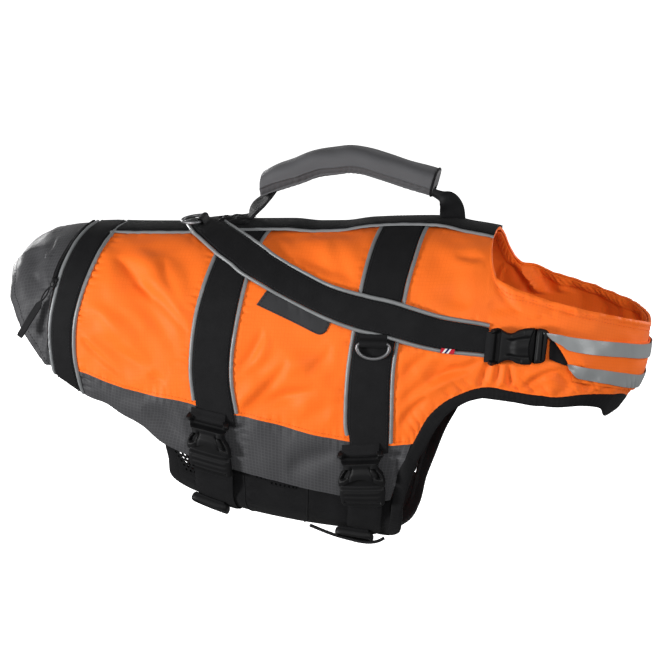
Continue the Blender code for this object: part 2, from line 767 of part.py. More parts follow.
def sew_panels(orange, grey):
    """The main cloth panels: two sides, two flanks and the rump."""

    def side_edges(a_s, a_a, b_s, b_a):
        seam = smooth(b_s, [knot.station for knot in FLANK_SEAM], [knot.angle for knot in FLANK_SEAM])
        lower = np.where(b_s < SEAM_MEETS_LEG, seam - 0.15, edge_angle(b_s) - 0.55)
        return np.where(a_a < 1, HALF_SEAM_ANGLE, a_a), lower

    def flank_edges(a_s, a_a, b_s, b_a):
        seam = smooth(a_s, [knot.station for knot in FLANK_SEAM], [knot.angle for knot in FLANK_SEAM])
        return seam + 0.15, b_a

    station, angle = spread(SIDE_ROWS, 64, 14, snap=side_edges)
    thickness = panel_wall(station)
    low = np.minimum((angle - angle[:, -1:]) * -1.9, 60)
    gathered = rise(np.abs(station - 215) - 62, 10, 20) * np.exp(-((low / GATHER_REACH) ** 2))
    wave = GATHER_HEIGHT * gathered * np.sin(2 * math.pi * station / GATHER_PITCH)
    neck = np.minimum((angle - angle[:, :1]) * 1.9, 60)
    neck_gathered = rise(250 - station, 40, 40) * np.exp(-((neck / 10) ** 2))
    wave += 0.8 * neck_gathered * np.sin(2 * math.pi * station / 18)
    flank = spread(FLANK_ROWS, 44, 4, snap=flank_edges)
    for side, sign in (("right", 1), ("left", -1)):
        sheet(f"side_{side}", (station, sign * angle), orange, 0.0, -thickness, coarse=2, extra=wave)
        sheet(f"flank_{side}", (flank[0], sign * flank[1]), grey, 0.0, -FLANK_WALL, coarse=2)
    sheet("rump_panel", spread(saddle(RUMP_ROWS), 32, 6), grey, 0.0, -RUMP_WALL, coarse=2)


def sew_straps(black, silver):
    """Back strip, rear band, girth straps and shoulder strap, each with its piping."""
    strap("rear_band", saddle(BAND_ROWS), 28, 2, black, silver, on_panel)
    strap("girth_strap_rear", saddle(REAR_GIRTH_ROWS), 32, 2, black, silver, on_panel)
    strap("girth_strap_front", saddle(FRONT_GIRTH_ROWS), 32, 2, black, silver, on_panel)
    strap("back_strip", STRIP_ROWS, 26, 4, black, silver, over_girths)
    strap("shoulder_strap", saddle(SHOULDER_ROWS), 42, 2, black, silver, over_all)


def sew_edges(black, orange, silver, webbing):
    """Bindings, collar band with its tapes, neck casing and neck webbing."""

    def on_edge(a_s, a_a, b_s, b_a):
        beside = (a_s > 55) & (np.abs(180 - a_a) > 31)
        edge = edge_angle(a_s)
        return np.where(beside, np.where(a_a < 180, edge, 360 - edge), a_a), b_a

    grid = spread(hammock(LEG_ROWS), 48, 1, snap=on_edge)
    sheet("leg_binding", grid, black, 0.9, -3.4)
    grid = spread(wrap_front(COLLAR_BINDING_ROWS), 40, 1, snap=on_edge)
    sheet("collar_binding", grid, black, 0.9, -3.0)
    around = wrap_front(COLLAR_BAND_ROWS)
    band = spread(around, 36, 4)
    sheet("collar_band", band, orange, 1.5, 0.0, extra=3.0)
    for label, start, end in (("upper", (0, 1.0), (0, 14.5)), ("lower", (1, -13.5), (1, -1.0))):
        tape = spread(around, 36, 1, start, end)
        sheet(f"reflective_tape_{label}", tape, silver, 0.8, 0.0, extra=5.1)
    casing = spread(wrap_front(CASING_ROWS), 38, 1)
    sheet("neck_casing", casing, orange, 0.0, -1.2, extra=-panel_wall(folded(casing[0]) - 24) - 2.3)
    for side, sign in (("right", 1), ("left", -1)):
        rows = (
            CrossRow(212.4, sign * 82.4, 212, sign * 96.8),
            CrossRow(222, sign * 84.2, 221, sign * 99.2),
            CrossRow(233, sign * 86.2, 232, sign * 101.6),
        )
        sheet(f"neck_webbing_{side}", spread(rows, 6, 2), webbing, WEBBING, 0.0, extra=0.6)


def sew_belly(mesh_cloth, black):
    """Belly panel, its two belts and the tri-glide adjusters."""
    station, angle = spread(hammock(BELLY_ROWS), 20, 6)
    down = 180 - np.abs(180 - angle)
    tucked = -FLANK_WALL - 1.4 - 0.6 * rise(down, 150, 6)
    height = tucked + (-0.6 - tucked) * (1 - rise(down, 153, 8))
    sheet("belly_panel", (station, angle), mesh_cloth, height, height - BELLY_WALL)
    for label, half, middles in (
        ("rear", 19, ((145.4, -124), (152, -126), (160, -128), (166, -128), (174, -128), (180, -128))),
        ("front", 17, ((149, 27), (154, 26), (160, 23), (166, 20), (174, 9), (180, 6))),
    ):
        rows = tuple(CrossRow(middle - half, turn, middle + half, turn) for turn, middle in middles)
        belt = spread(hammock(rows), 16, 1)
        sheet(f"belly_belt_{label}", belt, black, WEBBING, 0.0, extra=0.9)


def mould_buckles(plastic):
    """Side-release buckles, a socket half and a plug half on each side."""
    for kind in BUCKLES:
        half = kind.width / 2
        joint = kind.length * FEMALE_SHARE
        socket = mirrored_outline(
            [
                (0, half * 0.84),
                (2, half * 0.95),
                (joint * 0.26, half * 0.95),
                (joint * 0.34, half * 0.72),
                (joint * 0.58, half * 0.7),
                (joint * 0.68, half * 0.96),
                (joint, half),
            ]
        )
        plug = mirrored_outline(
            [
                (joint + 0.4, half),
                (kind.length - 8, half),
                (kind.length - 2, half * 0.9),
                (kind.length, half * 0.8),
            ]
        )
        for side, sign in (("right", 1), ("left", -1)):
            place = (kind.station, sign * kind.angle, kind.heading if sign > 0 else 180 - kind.heading)
            for label, outline, top in (("socket", socket, 0.0), ("plug", plug, 0.8)):
                plate(
                    f"{kind.name}_{label}_{side}",
                    outline,
                    BUCKLE_LIFT,
                    BUCKLE_LIFT + BUCKLE_THICKNESS + top,
                    BUCKLE_BEVEL,
                    place,
                    plastic,
                )


def ring_path(width, depth):
    """A D: a straight bar from -v to +v at u = 0, then round corners and a bow to u = depth."""
    corner = 4.0
    half = width / 2
    path = [(0, -half + corner), (0, 0), (0, half - corner)]
    path += [(corner * (1 - math.cos(t)), half - corner + corner * math.sin(t)) for t in (0.6, 1.2, 1.57)]
    bow = np.linspace(0.15, 1, 6)[:-1]
    path += [(corner + (depth - corner) * math.sin(t * math.pi / 2), half * math.cos(t * math.pi / 2)) for t in bow]
    path.append((depth, 0))
    path += [(u, -v) for u, v in reversed(path[3:-1])]
    return path


def set_rings(metal, webbing):
    """The leash ring on the back and a D-ring on each front girth strap, with their keepers."""
    for ring in RING_SEATS:
        spot, lead, side, out = tilted_seat(ring)
        path = [spot + u * lead + v * side for u, v in ring_path(RING_WIDTH, ring.depth)]
        tube(f"ring_{ring.name}", path, RING_WIRE, 5, metal, closed=True)
        inner, outer = RING_WIRE + 0.3, RING_WIRE + 0.3 + KEEPER_CLOTH
        half = RING_WIDTH / 2 - 6
        arc = [(-math.cos(t), math.sin(t)) for t in np.linspace(-1.9, 1.9, 8)]
        rows = []
        for v in (-half, half):
            rows.append([spot + r * c * lead + r * s * out + v * side for r in (outer, inner) for c, s in arc])
        count = len(arc)
        loop = list(range(count)) + [count + k for k in reversed(range(count))]
        size = 2 * count
        points = rows[0] + rows[1]
        faces = [tuple(loop), tuple(size + k for k in loop)]
        faces += [(a, b, b + size, a + size) for a, b in zip(loop, loop[1:] + loop[:1])]
        solid(f"ring_keeper_{ring.name}", points, faces, webbing, 50)


def curve_through(spots, count):
    """Evenly spaced points on a smooth curve through spots."""
    spots = np.asarray(spots, float)
    chord = np.concatenate([[0], np.cumsum(np.linalg.norm(np.diff(spots, axis=0), axis=1))])
    fine = np.linspace(0, chord[-1], 400)
    dense = np.stack([smooth(fine, chord, spots[:, k]) for k in range(spots.shape[1])], axis=1)
    travelled = np.concatenate([[0], np.cumsum(np.linalg.norm(np.diff(dense[:, :3], axis=0), axis=1))])
    at = np.linspace(0, travelled[-1], count)
    return np.stack([np.interp(at, travelled, dense[:, k]) for k in range(spots.shape[1])], axis=1)


def handle_frames(spots, count):
    """Point, tangent, width and thickness directions along the handle, in the x-z plane."""
    route = curve_through([(s[0], 0.0, s[1], s[2]) for s in spots], count)
    path, twist = route[:, :3], np.radians(route[:, 3])
    tangent = np.gradient(path, axis=0)
    tangent /= np.linalg.norm(tangent, axis=1, keepdims=True)
    over = np.stack([-tangent[:, 2], np.zeros(len(path)), tangent[:, 0]], axis=1)
    aside = np.array([0.0, 1.0, 0.0])
    wide = np.cos(twist)[:, None] * aside + np.sin(twist)[:, None] * over
    thick = np.cross(tangent, wide)
    return path, wide, thick


def sew_handle(webbing, grey):
    """A padded wrap round an arch of doubled webbing that is sewn to the back strip at both feet."""

    def foot(spot):
        if spot.z is not None:
            return spot
        flat, none = np.array([float(spot.x)]), np.zeros(1)
        lift = over_girths(flat, none) + WEBBING + 0.6 + HANDLE_WEB_THICKNESS / 2
        return HandleSpot(spot.x, float(lifted(flat, none, lift)[0, 2]), spot.twist)

    arch, _, up = handle_frames(HANDLE_ARCH, len(HANDLE_ARCH))
    sleeved = [HandleSpot(spot[0], spot[2], 0) for spot in arch - up * WRAP_SLOT_DROP]
    route = [foot(spot) for spot in (*HANDLE_LEG_REAR, *sleeved, *HANDLE_LEG_FRONT)]
    path, wide, thick = handle_frames(route, 40)
    half_width, half_thickness = HANDLE_WEB_WIDTH / 2, HANDLE_WEB_THICKNESS / 2
    corners = ((-1, -1), (1, -1), (1, 1), (-1, 1))
    points = [p + a * half_width * w + b * half_thickness * t for p, w, t in zip(path, wide, thick) for a, b in corners]
    faces = [tuple(range(4)), tuple(len(points) - 4 + k for k in range(4))]
    for i in range(len(path) - 1):
        faces += [(4 * i + k, 4 * i + (k + 1) % 4, 4 * i + 4 + (k + 1) % 4, 4 * i + 4 + k) for k in range(4)]
    solid("handle_webbing", points, faces, webbing, 50)

    path, wide, thick = handle_frames(HANDLE_ARCH, 13)
    sides = WRAP_SIDES
    turns = [2 * math.pi * k / sides for k in range(sides)]
    points = []
    for p, w, t in zip(path, wide, thick):
        for c, s in ((math.cos(turn), math.sin(turn)) for turn in turns):
            reach = (abs(c) ** WRAP_SQUARENESS + abs(s) ** WRAP_SQUARENESS) ** (-1 / WRAP_SQUARENESS)
            points.append(p + WRAP_WIDTH / 2 * reach * c * w + WRAP_HEIGHT / 2 * reach * s * t)
        slot_width, slot_height = WRAP_SLOT
        for c, s in ((math.cos(turn), math.sin(turn)) for turn in turns):
            reach = 1 / max(abs(c), abs(s))
            up = slot_height / 2 * reach * s - WRAP_SLOT_DROP
            points.append(p + slot_width / 2 * reach * c * w + up * t)
    ring = 2 * sides
    faces = []
    for i in range(len(path) - 1):
        for layer in (0, sides):
            for k in range(sides):
                a, b = i * ring + layer + k, i * ring + layer + (k + 1) % sides
                faces.append((a, b, b + ring, a + ring))
    for i in (0, len(path) - 1):
        for k in range(sides):
            a, b = i * ring + k, i * ring + (k + 1) % sides
            faces.append((a, b, b + sides, a + sides))
    solid("handle_wrap", points, faces, grey, 50)


def add_small_parts(black, plastic, metal, red, elastic):
    """Zip, label patches, flag tab, tri-glides and the elastic cord loop."""
    zip_rows = saddle(ZIP_ROWS)
    sheet("zip_tape", spread(zip_rows, 26, 1), black, 0.0, -1.6)
    block = mirrored_outline([(0, 2.4), (2, 3.2), (8, 3.2), (10.5, 2.2)])
    plate("zip_slider", block, 3.0, 6.6, 1.0, (-282.4, 61.9, -22), metal)
    pull = mirrored_outline([(0, 1.6), (16, 1.6), (20, 3.8), (PULL_SEAT.depth - 4, 3.8), (PULL_SEAT.depth, 2.6)])
    spot, lead, side, out = tilted_seat(PULL_SEAT)
    points, faces = plate_points(pull, -1.8, 0.0, 0.4)
    placed = [spot + u * lead + v * side + n * out for u, v, n in points]
    solid("zip_pull", placed, faces, black, 30)
    for side_name, sign in (("right", 1), ("left", -1)):
        rows = (
            CrossRow(-68, sign * 53.5, -77, sign * 59.6),
            CrossRow(-36, sign * 58.9, -43, sign * 65.4),
            CrossRow(-5, sign * 64.4, -10, sign * 71.0),
        )
        patch = spread(rows, 10, 2)
        sheet(f"label_patch_{side_name}", patch, black, 0.9, 0.0, extra=LAYER_GAP)
    tab = spread((CrossRow(106.6, 80.2, 105, 82.6), CrossRow(120, 82.6, 118.6, 85.0)), 6, 1)
    sheet("flag_tab", tab, red, 1.0, 0.0, extra=over_all(*tab) + PIPING_HEIGHT + 0.3)
    glide = [(-19, -11), (19, -11), (19, 11), (-19, 11)]
    for label, station, turn in (("rear", -134, 168.5), ("front", 11, 168.5)):
        plate(f"tri_glide_{label}", glide, 4.4, 8.0, 1.0, (station, turn, 90), plastic)
    curve = bpy.data.curves.new("elastic_cord", "CURVE")
    curve.dimensions = "3D"
    curve.bevel_depth = CORD_DIAMETER / 2 * MM
    curve.bevel_resolution = 2
    curve.use_fill_caps = True
    line = curve.splines.new("POLY")
    route = curve_through(CORD_ROUTE, 14) * MM
    line.points.add(len(route) - 1)
    for point, spot in zip(line.points, route):
        point.co = (*spot, 1)
    curve.materials.append(elastic)
    bpy.context.scene.collection.objects.link(bpy.data.objects.new("elastic_cord", curve))


def main():
    for old in list(bpy.data.objects):
        bpy.data.objects.remove(old)
    orange = material("orange_cloth", (0.95, 0.19, 0.03), 0.6)
    grey = material("grey_ripstop", (0.07, 0.07, 0.075), 0.65)
    black = material("black_webbing", (0.015, 0.015, 0.016), 0.8)
    silver = material("reflective_trim", (0.25, 0.26, 0.27), 0.35)
    plastic = material("black_plastic", (0.012, 0.012, 0.013), 0.4)
    metal = material("dark_chrome", (0.25, 0.25, 0.26), 0.25, 1.0)
    mesh_cloth = material("black_spacer_mesh", (0.02, 0.02, 0.021), 0.9)
    wrap_grey = material("grey_wrap_cloth", (0.11, 0.11, 0.115), 0.6)
    elastic = material("black_elastic", (0.02, 0.02, 0.02), 0.7)
    flag = material("flag_tab_cloth", (0.6, 0.04, 0.06), 0.7)
    sew_panels(orange, grey)
    sew_straps(black, silver)
    sew_edges(black, orange, silver, black)
    sew_belly(mesh_cloth, black)
    mould_buckles(plastic)
    set_rings(metal, black)
    sew_handle(black, wrap_grey)
    add_small_parts(black, plastic, metal, flag, elastic)


if __name__ == "__main__":
    main()
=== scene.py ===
"""Dresses a hollow dog life jacket: cloth, webbing, trim, buckles, rings, zip, handle and studio."""

import logging
import math
from dataclasses import dataclass
from enum import Enum
from typing import Callable, NamedTuple, Sequence

import bmesh
import bpy
import numpy as np
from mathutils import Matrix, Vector
from numpy.linalg import norm


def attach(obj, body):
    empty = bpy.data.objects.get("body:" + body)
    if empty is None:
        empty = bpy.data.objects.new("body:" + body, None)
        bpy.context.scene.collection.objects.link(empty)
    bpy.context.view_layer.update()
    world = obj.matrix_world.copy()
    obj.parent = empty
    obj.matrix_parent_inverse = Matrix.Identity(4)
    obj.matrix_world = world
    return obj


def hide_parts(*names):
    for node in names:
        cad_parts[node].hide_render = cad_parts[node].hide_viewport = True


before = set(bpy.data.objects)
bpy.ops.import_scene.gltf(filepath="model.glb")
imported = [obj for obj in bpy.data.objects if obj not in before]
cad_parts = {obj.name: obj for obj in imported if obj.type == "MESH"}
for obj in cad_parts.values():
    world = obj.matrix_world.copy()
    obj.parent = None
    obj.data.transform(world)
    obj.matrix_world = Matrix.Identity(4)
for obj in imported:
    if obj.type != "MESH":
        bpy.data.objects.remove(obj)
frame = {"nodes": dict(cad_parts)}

LOG = logging.getLogger("life_jacket")
MM = 0.001
GIRTH_MM = 1.9
CLOTH_UV = "cloth"

Array = np.ndarray
Lift = Callable[[Array, Array], Array]
Edges = tuple[Array, Array]
Snap = Callable[[Array, Array, Array, Array], Edges]
Material = bpy.types.Material
Socket = bpy.types.NodeSocket
Thing = bpy.types.Object


class Body(Enum):
    """The moving bodies that pieces ride on."""

    JACKET = "jacket"
    LEASH_RING = "leash_ring"
    RIGHT_RING = "side_ring_right"
    LEFT_RING = "side_ring_left"
    ZIP_PULL = "zip_pull_tab"


class Slot(Enum):
    """The record's material slots."""

    ORANGE = "orange_cloth"
    RIPSTOP = "grey_ripstop"
    WEBBING = "black_webbing"
    TRIM = "reflective_trim"
    PLASTIC = "black_plastic"
    CHROME = "dark_chrome"
    SPACER = "black_spacer_mesh"
    WRAP = "grey_wrap_cloth"
    ELASTIC = "black_elastic"
    FLAG = "flag_tab_cloth"


class Side(Enum):
    """The wearer's right and left sides, as the sign of the angle from the spine."""

    RIGHT = 1
    LEFT = -1

    @property
    def label(self) -> str:
        """The side's name as node names spell it."""
        return self.name.lower()


class Section(NamedTuple):
    """One cross-section of the body, in millimetres."""

    station: float
    crest: float
    half_width: float
    widest_z: float
    bottom_z: float


class FrontRow(NamedTuple):
    """How far forward the chest reaches at one height."""

    height: float
    reach: float


class CrossRow(NamedTuple):
    """One row across a piece: both edges as stations in millimetres and angles in degrees."""

    a_station: float
    a_angle: float
    b_station: float
    b_angle: float
    bow: float = 0.0


class Knot(NamedTuple):
    """One spot on a seam line."""

    station: float
    angle: float


class Crease(NamedTuple):
    """A soft trough (depth below nought) or ridge between two spots, bowed sideways."""

    from_station: float
    from_angle: float
    to_station: float
    to_angle: float
    width: float
    depth: float
    bow: float = 0.0


def table(kind: type[NamedTuple], *rows: tuple) -> tuple:
    """Rows of plain values as records of one kind, in the order of its fields."""
    return tuple(kind(*row) for row in rows)


def column(rows: Sequence[NamedTuple], name: str) -> list[float]:
    """One named column of a table."""
    return [getattr(row, name) for row in rows]


def smooth(at: Array | float, knots: Sequence[float], values: Sequence[float]) -> Array:
    """Reads a smooth curve through knots, with slopes taken from each knot's neighbours.

    Args:
        at: Where to read it.
        knots: Rising places along the curve.
        values: The curve's values there.

    Returns:
        The values at `at`, held level past both ends.
    """
    at = np.clip(np.asarray(at, float), knots[0], knots[-1])
    knots = np.asarray(knots, float)
    values = np.asarray(values, float)
    slopes = np.gradient(values, knots)
    index = np.clip(np.searchsorted(knots, at, side="right") - 1, 0, len(knots) - 2)
    span = knots[index + 1] - knots[index]
    t = (at - knots[index]) / span
    rise = values[index + 1] - values[index]
    cubic = (slopes[index] + slopes[index + 1]) * span - 2 * rise
    square = rise - slopes[index] * span - cubic
    return values[index] + t * (slopes[index] * span + t * (square + t * cubic))


def fade(distance: Array, full: float, ramp: float) -> Array:
    """One where distance is at most full, falling smoothly to nought over ramp."""
    t = np.clip((full + ramp - distance) / ramp, 0, 1)
    return t * t * (3 - 2 * t)


def step_up(value: Array, low: float, high: float) -> Array:
    """Nought below low, one above high, smooth between."""
    t = np.clip((value - low) / (high - low), 0, 1)
    return t * t * (3 - 2 * t)


def hill(value: Array, centre: float, width: float) -> Array:
    """A smooth hill of height one."""
    return np.exp(-(((value - centre) / width) ** 2))


@dataclass(frozen=True)
class BodyForm:
    """The smooth body that all cloth lies on. Stations run towards the head, angles down from the spine."""

    fullness: float = 2.25
    nose_start: float = 205.0
    nose_arc: float = 150.0
    leg_shift: float = 3.0
    sections: tuple[Section, ...] = table(Section, (-352, -62, 40, -100, -150), (-340, -40, 56, -96, -158),
        (-325, -20, 68, -90, -168), (-306, -8, 77, -86, -182), (-285, -2, 84, -86, -195),
        (-256, 0.5, 90, -88, -212), (-210, 1, 97, -96, -240), (-130, 2.5, 104, -112, -278),
        (-50, 4.5, 107, -124, -296), (0, 6, 108, -128, -302), (50, 9, 106, -126, -308),
        (100, 10, 102, -120, -302), (150, 4, 97, -108, -284), (205, -10, 92, -100, -262))
    front: tuple[FrontRow, ...] = table(FrontRow, (-200, 252), (-162, 278), (-151, 287), (-132, 295.5),
        (-104, 300), (-86, 302), (-40, 299))

    @property
    def nose_centre(self) -> float:
        """The station of the centre front."""
        return self.nose_start + self.nose_arc

    def folded(self, station: Array) -> Array:
        """The same station counted on the right side, for one carried past the centre front."""
        return self.nose_centre - np.abs(self.nose_centre - np.asarray(station, float))

    def shift(self, station: Array, angle: Array) -> Array:
        """How far forward the left leg opening sits of the right one."""
        down = 180 - np.abs(180 - np.abs(np.asarray(angle, float)) % 360)
        low = np.clip((down - 104) / 24, 0, 1) * np.clip((180 - down) / 20, 0, 1)
        run = np.clip((station - 12) / 44, 0, 1) * np.clip((190 - station) / 80, 0, 1)
        return self.leg_shift * low * run * run * (3 - 2 * run)

    def point(self, station: Array | float, angle: Array | float) -> Array:
        """The skin's point at a station and an angle from the spine, right side positive."""
        station = np.asarray(station, float)
        turn = np.radians(np.asarray(angle, float))
        past_front = station > self.nose_centre
        station = self.folded(station)
        left = np.where(past_front, -1.0, 1.0) * np.sin(turn) < 0
        station = station + self.shift(station, angle) * left
        knots = column(self.sections, "station")
        crest, half_width, widest, bottom = (smooth(station, knots, column(self.sections, name))
            for name in Section._fields[1:])
        height = np.where(np.cos(turn) > 0, crest - widest, widest - bottom)
        across = np.abs(np.sin(turn) / half_width) ** self.fullness
        radius = (across + np.abs(np.cos(turn) / height) ** self.fullness) ** (-1 / self.fullness)
        z = widest + radius * np.cos(turn)
        reach = smooth(z, column(self.front, "height"), column(self.front, "reach"))
        swing = np.clip((station - self.nose_start) / self.nose_arc, 0, 1.2) * math.pi / 2
        x = np.minimum(station, self.nose_start) + (reach - self.nose_start) * np.sin(swing)
        y = np.where(past_front, 1.0, -1.0) * radius * np.sin(turn) * np.cos(swing)
        return np.stack([x, y, z], axis=-1)

    def normal(self, station: Array | float, angle: Array | float) -> Array:
        """The outward direction at a spot."""
        along = self.point(station + 1.0, angle) - self.point(station - 1.0, angle)
        around = self.point(station, angle + 0.5) - self.point(station, angle - 0.5)
        outward = np.cross(around, along)
        return outward / norm(outward, axis=-1, keepdims=True)

    def lifted(self, station: Array | float, angle: Array | float, lift: Array | float) -> Array:
        """Body points moved outward by lift millimetres."""
        return self.point(station, angle) + self.normal(station, angle) * np.asarray(lift)[..., None]


BODY = BodyForm()

FLANK_SEAM = table(Knot, (-290, 120.2), (-262, 120.4), (-226, 121.6), (-195, 121.2), (-163, 119.2),
    (-120, 119.4), (-75, 119.2), (-40, 120.8), (0, 123.2), (55, 127.2), (90, 127.6))
BOTTOM_EDGE = table(Knot, (54.5, 149.7), (61, 140), (70.7, 132.6), (81.1, 124.6), (92.2, 116.6),
    (106, 111.2), (128, 108.2), (148, 108.2), (177, 113.6), (208, 118.6), (253, 118.2), (290, 119.4),
    (318, 121), (340, 123.4), (355, 124.4))
SEAM_MEETS_LEG = 78.6
REAR_GIRTH_ROWS = table(CrossRow, (-112, 0, -70, 0), (-116.5, 17, -77.9, 17), (-125.2, 38.5, -86.5, 38.5),
    (-132.8, 55.6, -92.5, 55.6), (-138.6, 71, -97.2, 71), (-142.3, 88, -101.5, 88),
    (-143.5, 103, -102, 103), (-141, 117, -98, 117), (-139.2, 128.5, -95.6, 128.5))
FRONT_GIRTH_ROWS = table(CrossRow, (38, 0, 84, 0), (35.4, 14, 81.2, 14), (30, 32, 76.6, 32),
    (25.2, 48, 70.4, 48), (20, 68, 65, 68), (14.4, 90, 59.2, 90), (11.8, 114, 57.4, 114),
    (13.2, 123, 56.6, 123), (13.6, 133.5, 55.4, 133.5))
STRIP_ROWS = table(CrossRow, (-236.5, -22.5, -236.5, 22.5, 8.5), (-186, -20, -186, 20),
    (-130, -17.5, -130, 17.5), (-60, -15, -60, 15), (0, -13.5, 0, 13.5), (43, -11.6, 43, 11.6),
    (83, -12.4, 83, 12.4), (125, -15.6, 125, 15.6), (149, -17.6, 149, 17.6))
SHOULDER_ROWS = table(CrossRow, (-128, 0, -166, 0), (-124, 7.6, -160, 11), (-109, 17.6, -148, 24),
    (-90.3, 25.6, -125, 35.2), (-73.3, 31.2, -107, 41.2), (-59, 35.5, -89, 46.9), (-6, 47, -30, 58.7),
    (31.5, 52, 19.6, 67.3), (66.5, 56.5, 55, 72.2), (133.8, 69.4, 122, 85), (153, 73.4, 150, 90.4))


def seam_angle(knots: Sequence[Knot], station: Array) -> Array:
    """Angle of a seam line at a station."""
    return smooth(station, column(knots, "station"), column(knots, "angle"))


def edge_angle(station: Array) -> Array:
    """Angle of the line where the side panels meet the leg and collar bindings."""
    return seam_angle(BOTTOM_EDGE, BODY.folded(station))


def girth_distance(station: Array, angle: Array, rows: Sequence[CrossRow]) -> Array:
    """Millimetres that a spot lies outside a girth strap, negative on the strap."""
    angles = column(rows, "a_angle")
    rear = smooth(np.abs(angle), angles, column(rows, "a_station"))
    front = smooth(np.abs(angle), angles, column(rows, "b_station"))
    return np.maximum(rear - station, station - front)


def spine_distance(station: Array, angle: Array) -> Array:
    """Millimetres that a spot lies outside the back strip."""
    half = smooth(station, column(STRIP_ROWS, "b_station"), column(STRIP_ROWS, "b_angle"))
    return np.maximum((np.abs(angle) - half) * 2.1, -234 - station)


def shoulder_distance(station: Array, angle: Array) -> Array:
    """Millimetres that a spot lies outside the shoulder strap, measured along the girth."""
    upper = smooth(station, column(SHOULDER_ROWS, "a_station"), column(SHOULDER_ROWS, "a_angle"))
    lower = smooth(station, column(SHOULDER_ROWS, "b_station"), column(SHOULDER_ROWS, "b_angle"))
    off = np.maximum(upper - np.abs(angle), np.abs(angle) - lower) * GIRTH_MM
    return np.maximum(off, station - 215)


def zip_distance(station: Array) -> Array:
    """Millimetres that a spot lies outside the band over the zip."""
    return np.abs(station + 274) - 15


@dataclass(frozen=True)
class Layers:
    """How far webbing lies above the panels, and how it climbs over what it crosses."""

    webbing: float = 1.8
    gap: float = 0.5
    step: float = 2.5
    cover: float = 14.0
    ramp: float = 30.0

    def on_panel(self, station: Array, angle: Array) -> Array:
        """The lift of what lies straight on a panel."""
        return np.full(np.shape(station), self.gap)

    def girths(self, station: Array, angle: Array) -> Array:
        """How far the girth straps lift what crosses them, from nought to one."""
        covers = [fade(girth_distance(station, angle, rows), self.cover, self.ramp)
            for rows in (REAR_GIRTH_ROWS, FRONT_GIRTH_ROWS)]
        return np.maximum(*covers)

    def over_girths(self, station: Array, angle: Array) -> Array:
        """The lift of what crosses the girth straps."""
        return self.gap + self.step * self.girths(station, angle)

    def over_all(self, station: Array, angle: Array) -> Array:
        """The lift of what crosses the girth straps and the back strip."""
        strip = fade(spine_distance(station, angle), self.cover, self.ramp)
        return self.gap + self.step * (self.girths(station, angle) + strip)


LAYERS = Layers()


class Spots(NamedTuple):
    """A grid of places on the body, with their distances along and across the piece in metres."""

    station: Array
    angle: Array
    along: Array
    across: Array

    @property
    def coords(self) -> Array:
        """Cloth coordinates, along and across."""
        return np.stack([self.along, self.across], axis=-1)

    @property
    def from_ends(self) -> Array:
        """Millimetres from the nearer end."""
        return np.minimum(self.along, self.along[-1, 0] - self.along) / MM

    def mirrored(self) -> "Spots":
        """The same grid on the other side of the spine."""
        return self._replace(angle=-self.angle)


def spread(rows: Sequence[CrossRow], along: int, across: int, start: tuple[float, float] = (0, 0.0),
        end: tuple[float, float] = (1, 0.0), snap: Snap | None = None) -> Spots:
    """Fills the room between two edges with a grid, evenly spaced along them.

    Args:
        rows: The rows across the piece.
        along: Cells along the edges.
        across: Cells between them.
        start: Where the grid's first side lies, edge a being 0 and b 1, plus millimetres towards b.
        end: Where its last side lies, in the same way.
        snap: Takes both edges' stations and angles, and returns new angles for them.

    Returns:
        The grid of spots.
    """
    knots = np.arange(len(rows), dtype=float)
    columns = {name: column(rows, name) for name in CrossRow._fields}

    def edges(t: Array) -> list[Array]:
        """Both edges and the bow at places along the rows."""
        return [smooth(t, knots, columns[name]) for name in CrossRow._fields]

    fine = np.linspace(0, knots[-1], 240)
    a_s, a_a, b_s, b_a, _ = edges(fine)
    steps = [norm(np.diff(BODY.point(a_s + (b_s - a_s) * u, a_a + (b_a - a_a) * u), axis=0), axis=1)
        for u in (0, 0.5, 1)]
    travelled = np.concatenate([[0], np.cumsum(sum(steps))])
    t = np.interp(np.linspace(0, travelled[-1], along + 1), travelled, fine)
    a_s, a_a, b_s, b_a, bow = edges(t)
    if snap:
        a_a, b_a = snap(a_s, a_a, b_s, b_a)
    width = norm(BODY.point(a_s, a_a) - BODY.point(b_s, b_a), axis=-1)
    low = start[0] + start[1] / width
    high = end[0] + end[1] / width
    u = low[:, None] + (high - low)[:, None] * np.linspace(0, 1, across + 1)
    station = a_s[:, None] + (b_s - a_s)[:, None] * u + bow[:, None] * 4 * u * (1 - u)
    angle = a_a[:, None] + (b_a - a_a)[:, None] * u
    length = np.broadcast_to(np.linspace(0, travelled[-1] / 3 * MM, along + 1)[:, None], station.shape)
    return Spots(station, angle, length, u * width[:, None] * MM)


def saddle(rows: Sequence[CrossRow]) -> tuple[CrossRow, ...]:
    """Rows from the spine down the right side, carried over to the left side too."""
    left = [row._replace(a_angle=-row.a_angle, b_angle=-row.b_angle) for row in reversed(rows[1:])]
    return tuple(left) + tuple(rows)


def hammock(rows: Sequence[CrossRow]) -> tuple[CrossRow, ...]:
    """Rows from the right side down to the belly line, carried up the left side too."""
    left = [row._replace(a_angle=360 - row.a_angle, b_angle=360 - row.b_angle)
        for row in reversed(rows[:-1])]
    return tuple(rows) + tuple(left)


def wrap_front(rows: Sequence[CrossRow]) -> tuple[CrossRow, ...]:
    """Rows along the right side to the centre front, carried back along the left side too."""
    span = 2 * BODY.nose_centre
    left = [row._replace(a_station=span - row.a_station, b_station=span - row.b_station)
        for row in reversed(rows[:-1])]
    return tuple(rows) + tuple(left)


def travel(path: Array) -> Array:
    """Distance along a path to each of its points."""
    return np.concatenate([[0], np.cumsum(norm(np.diff(path, axis=0), axis=1))])


def show(name: str, data: bpy.types.ID) -> Thing:
    """Makes an object of some data and puts it in the scene."""
    made = bpy.data.objects.new(name, data)
    bpy.context.scene.collection.objects.link(made)
    return made


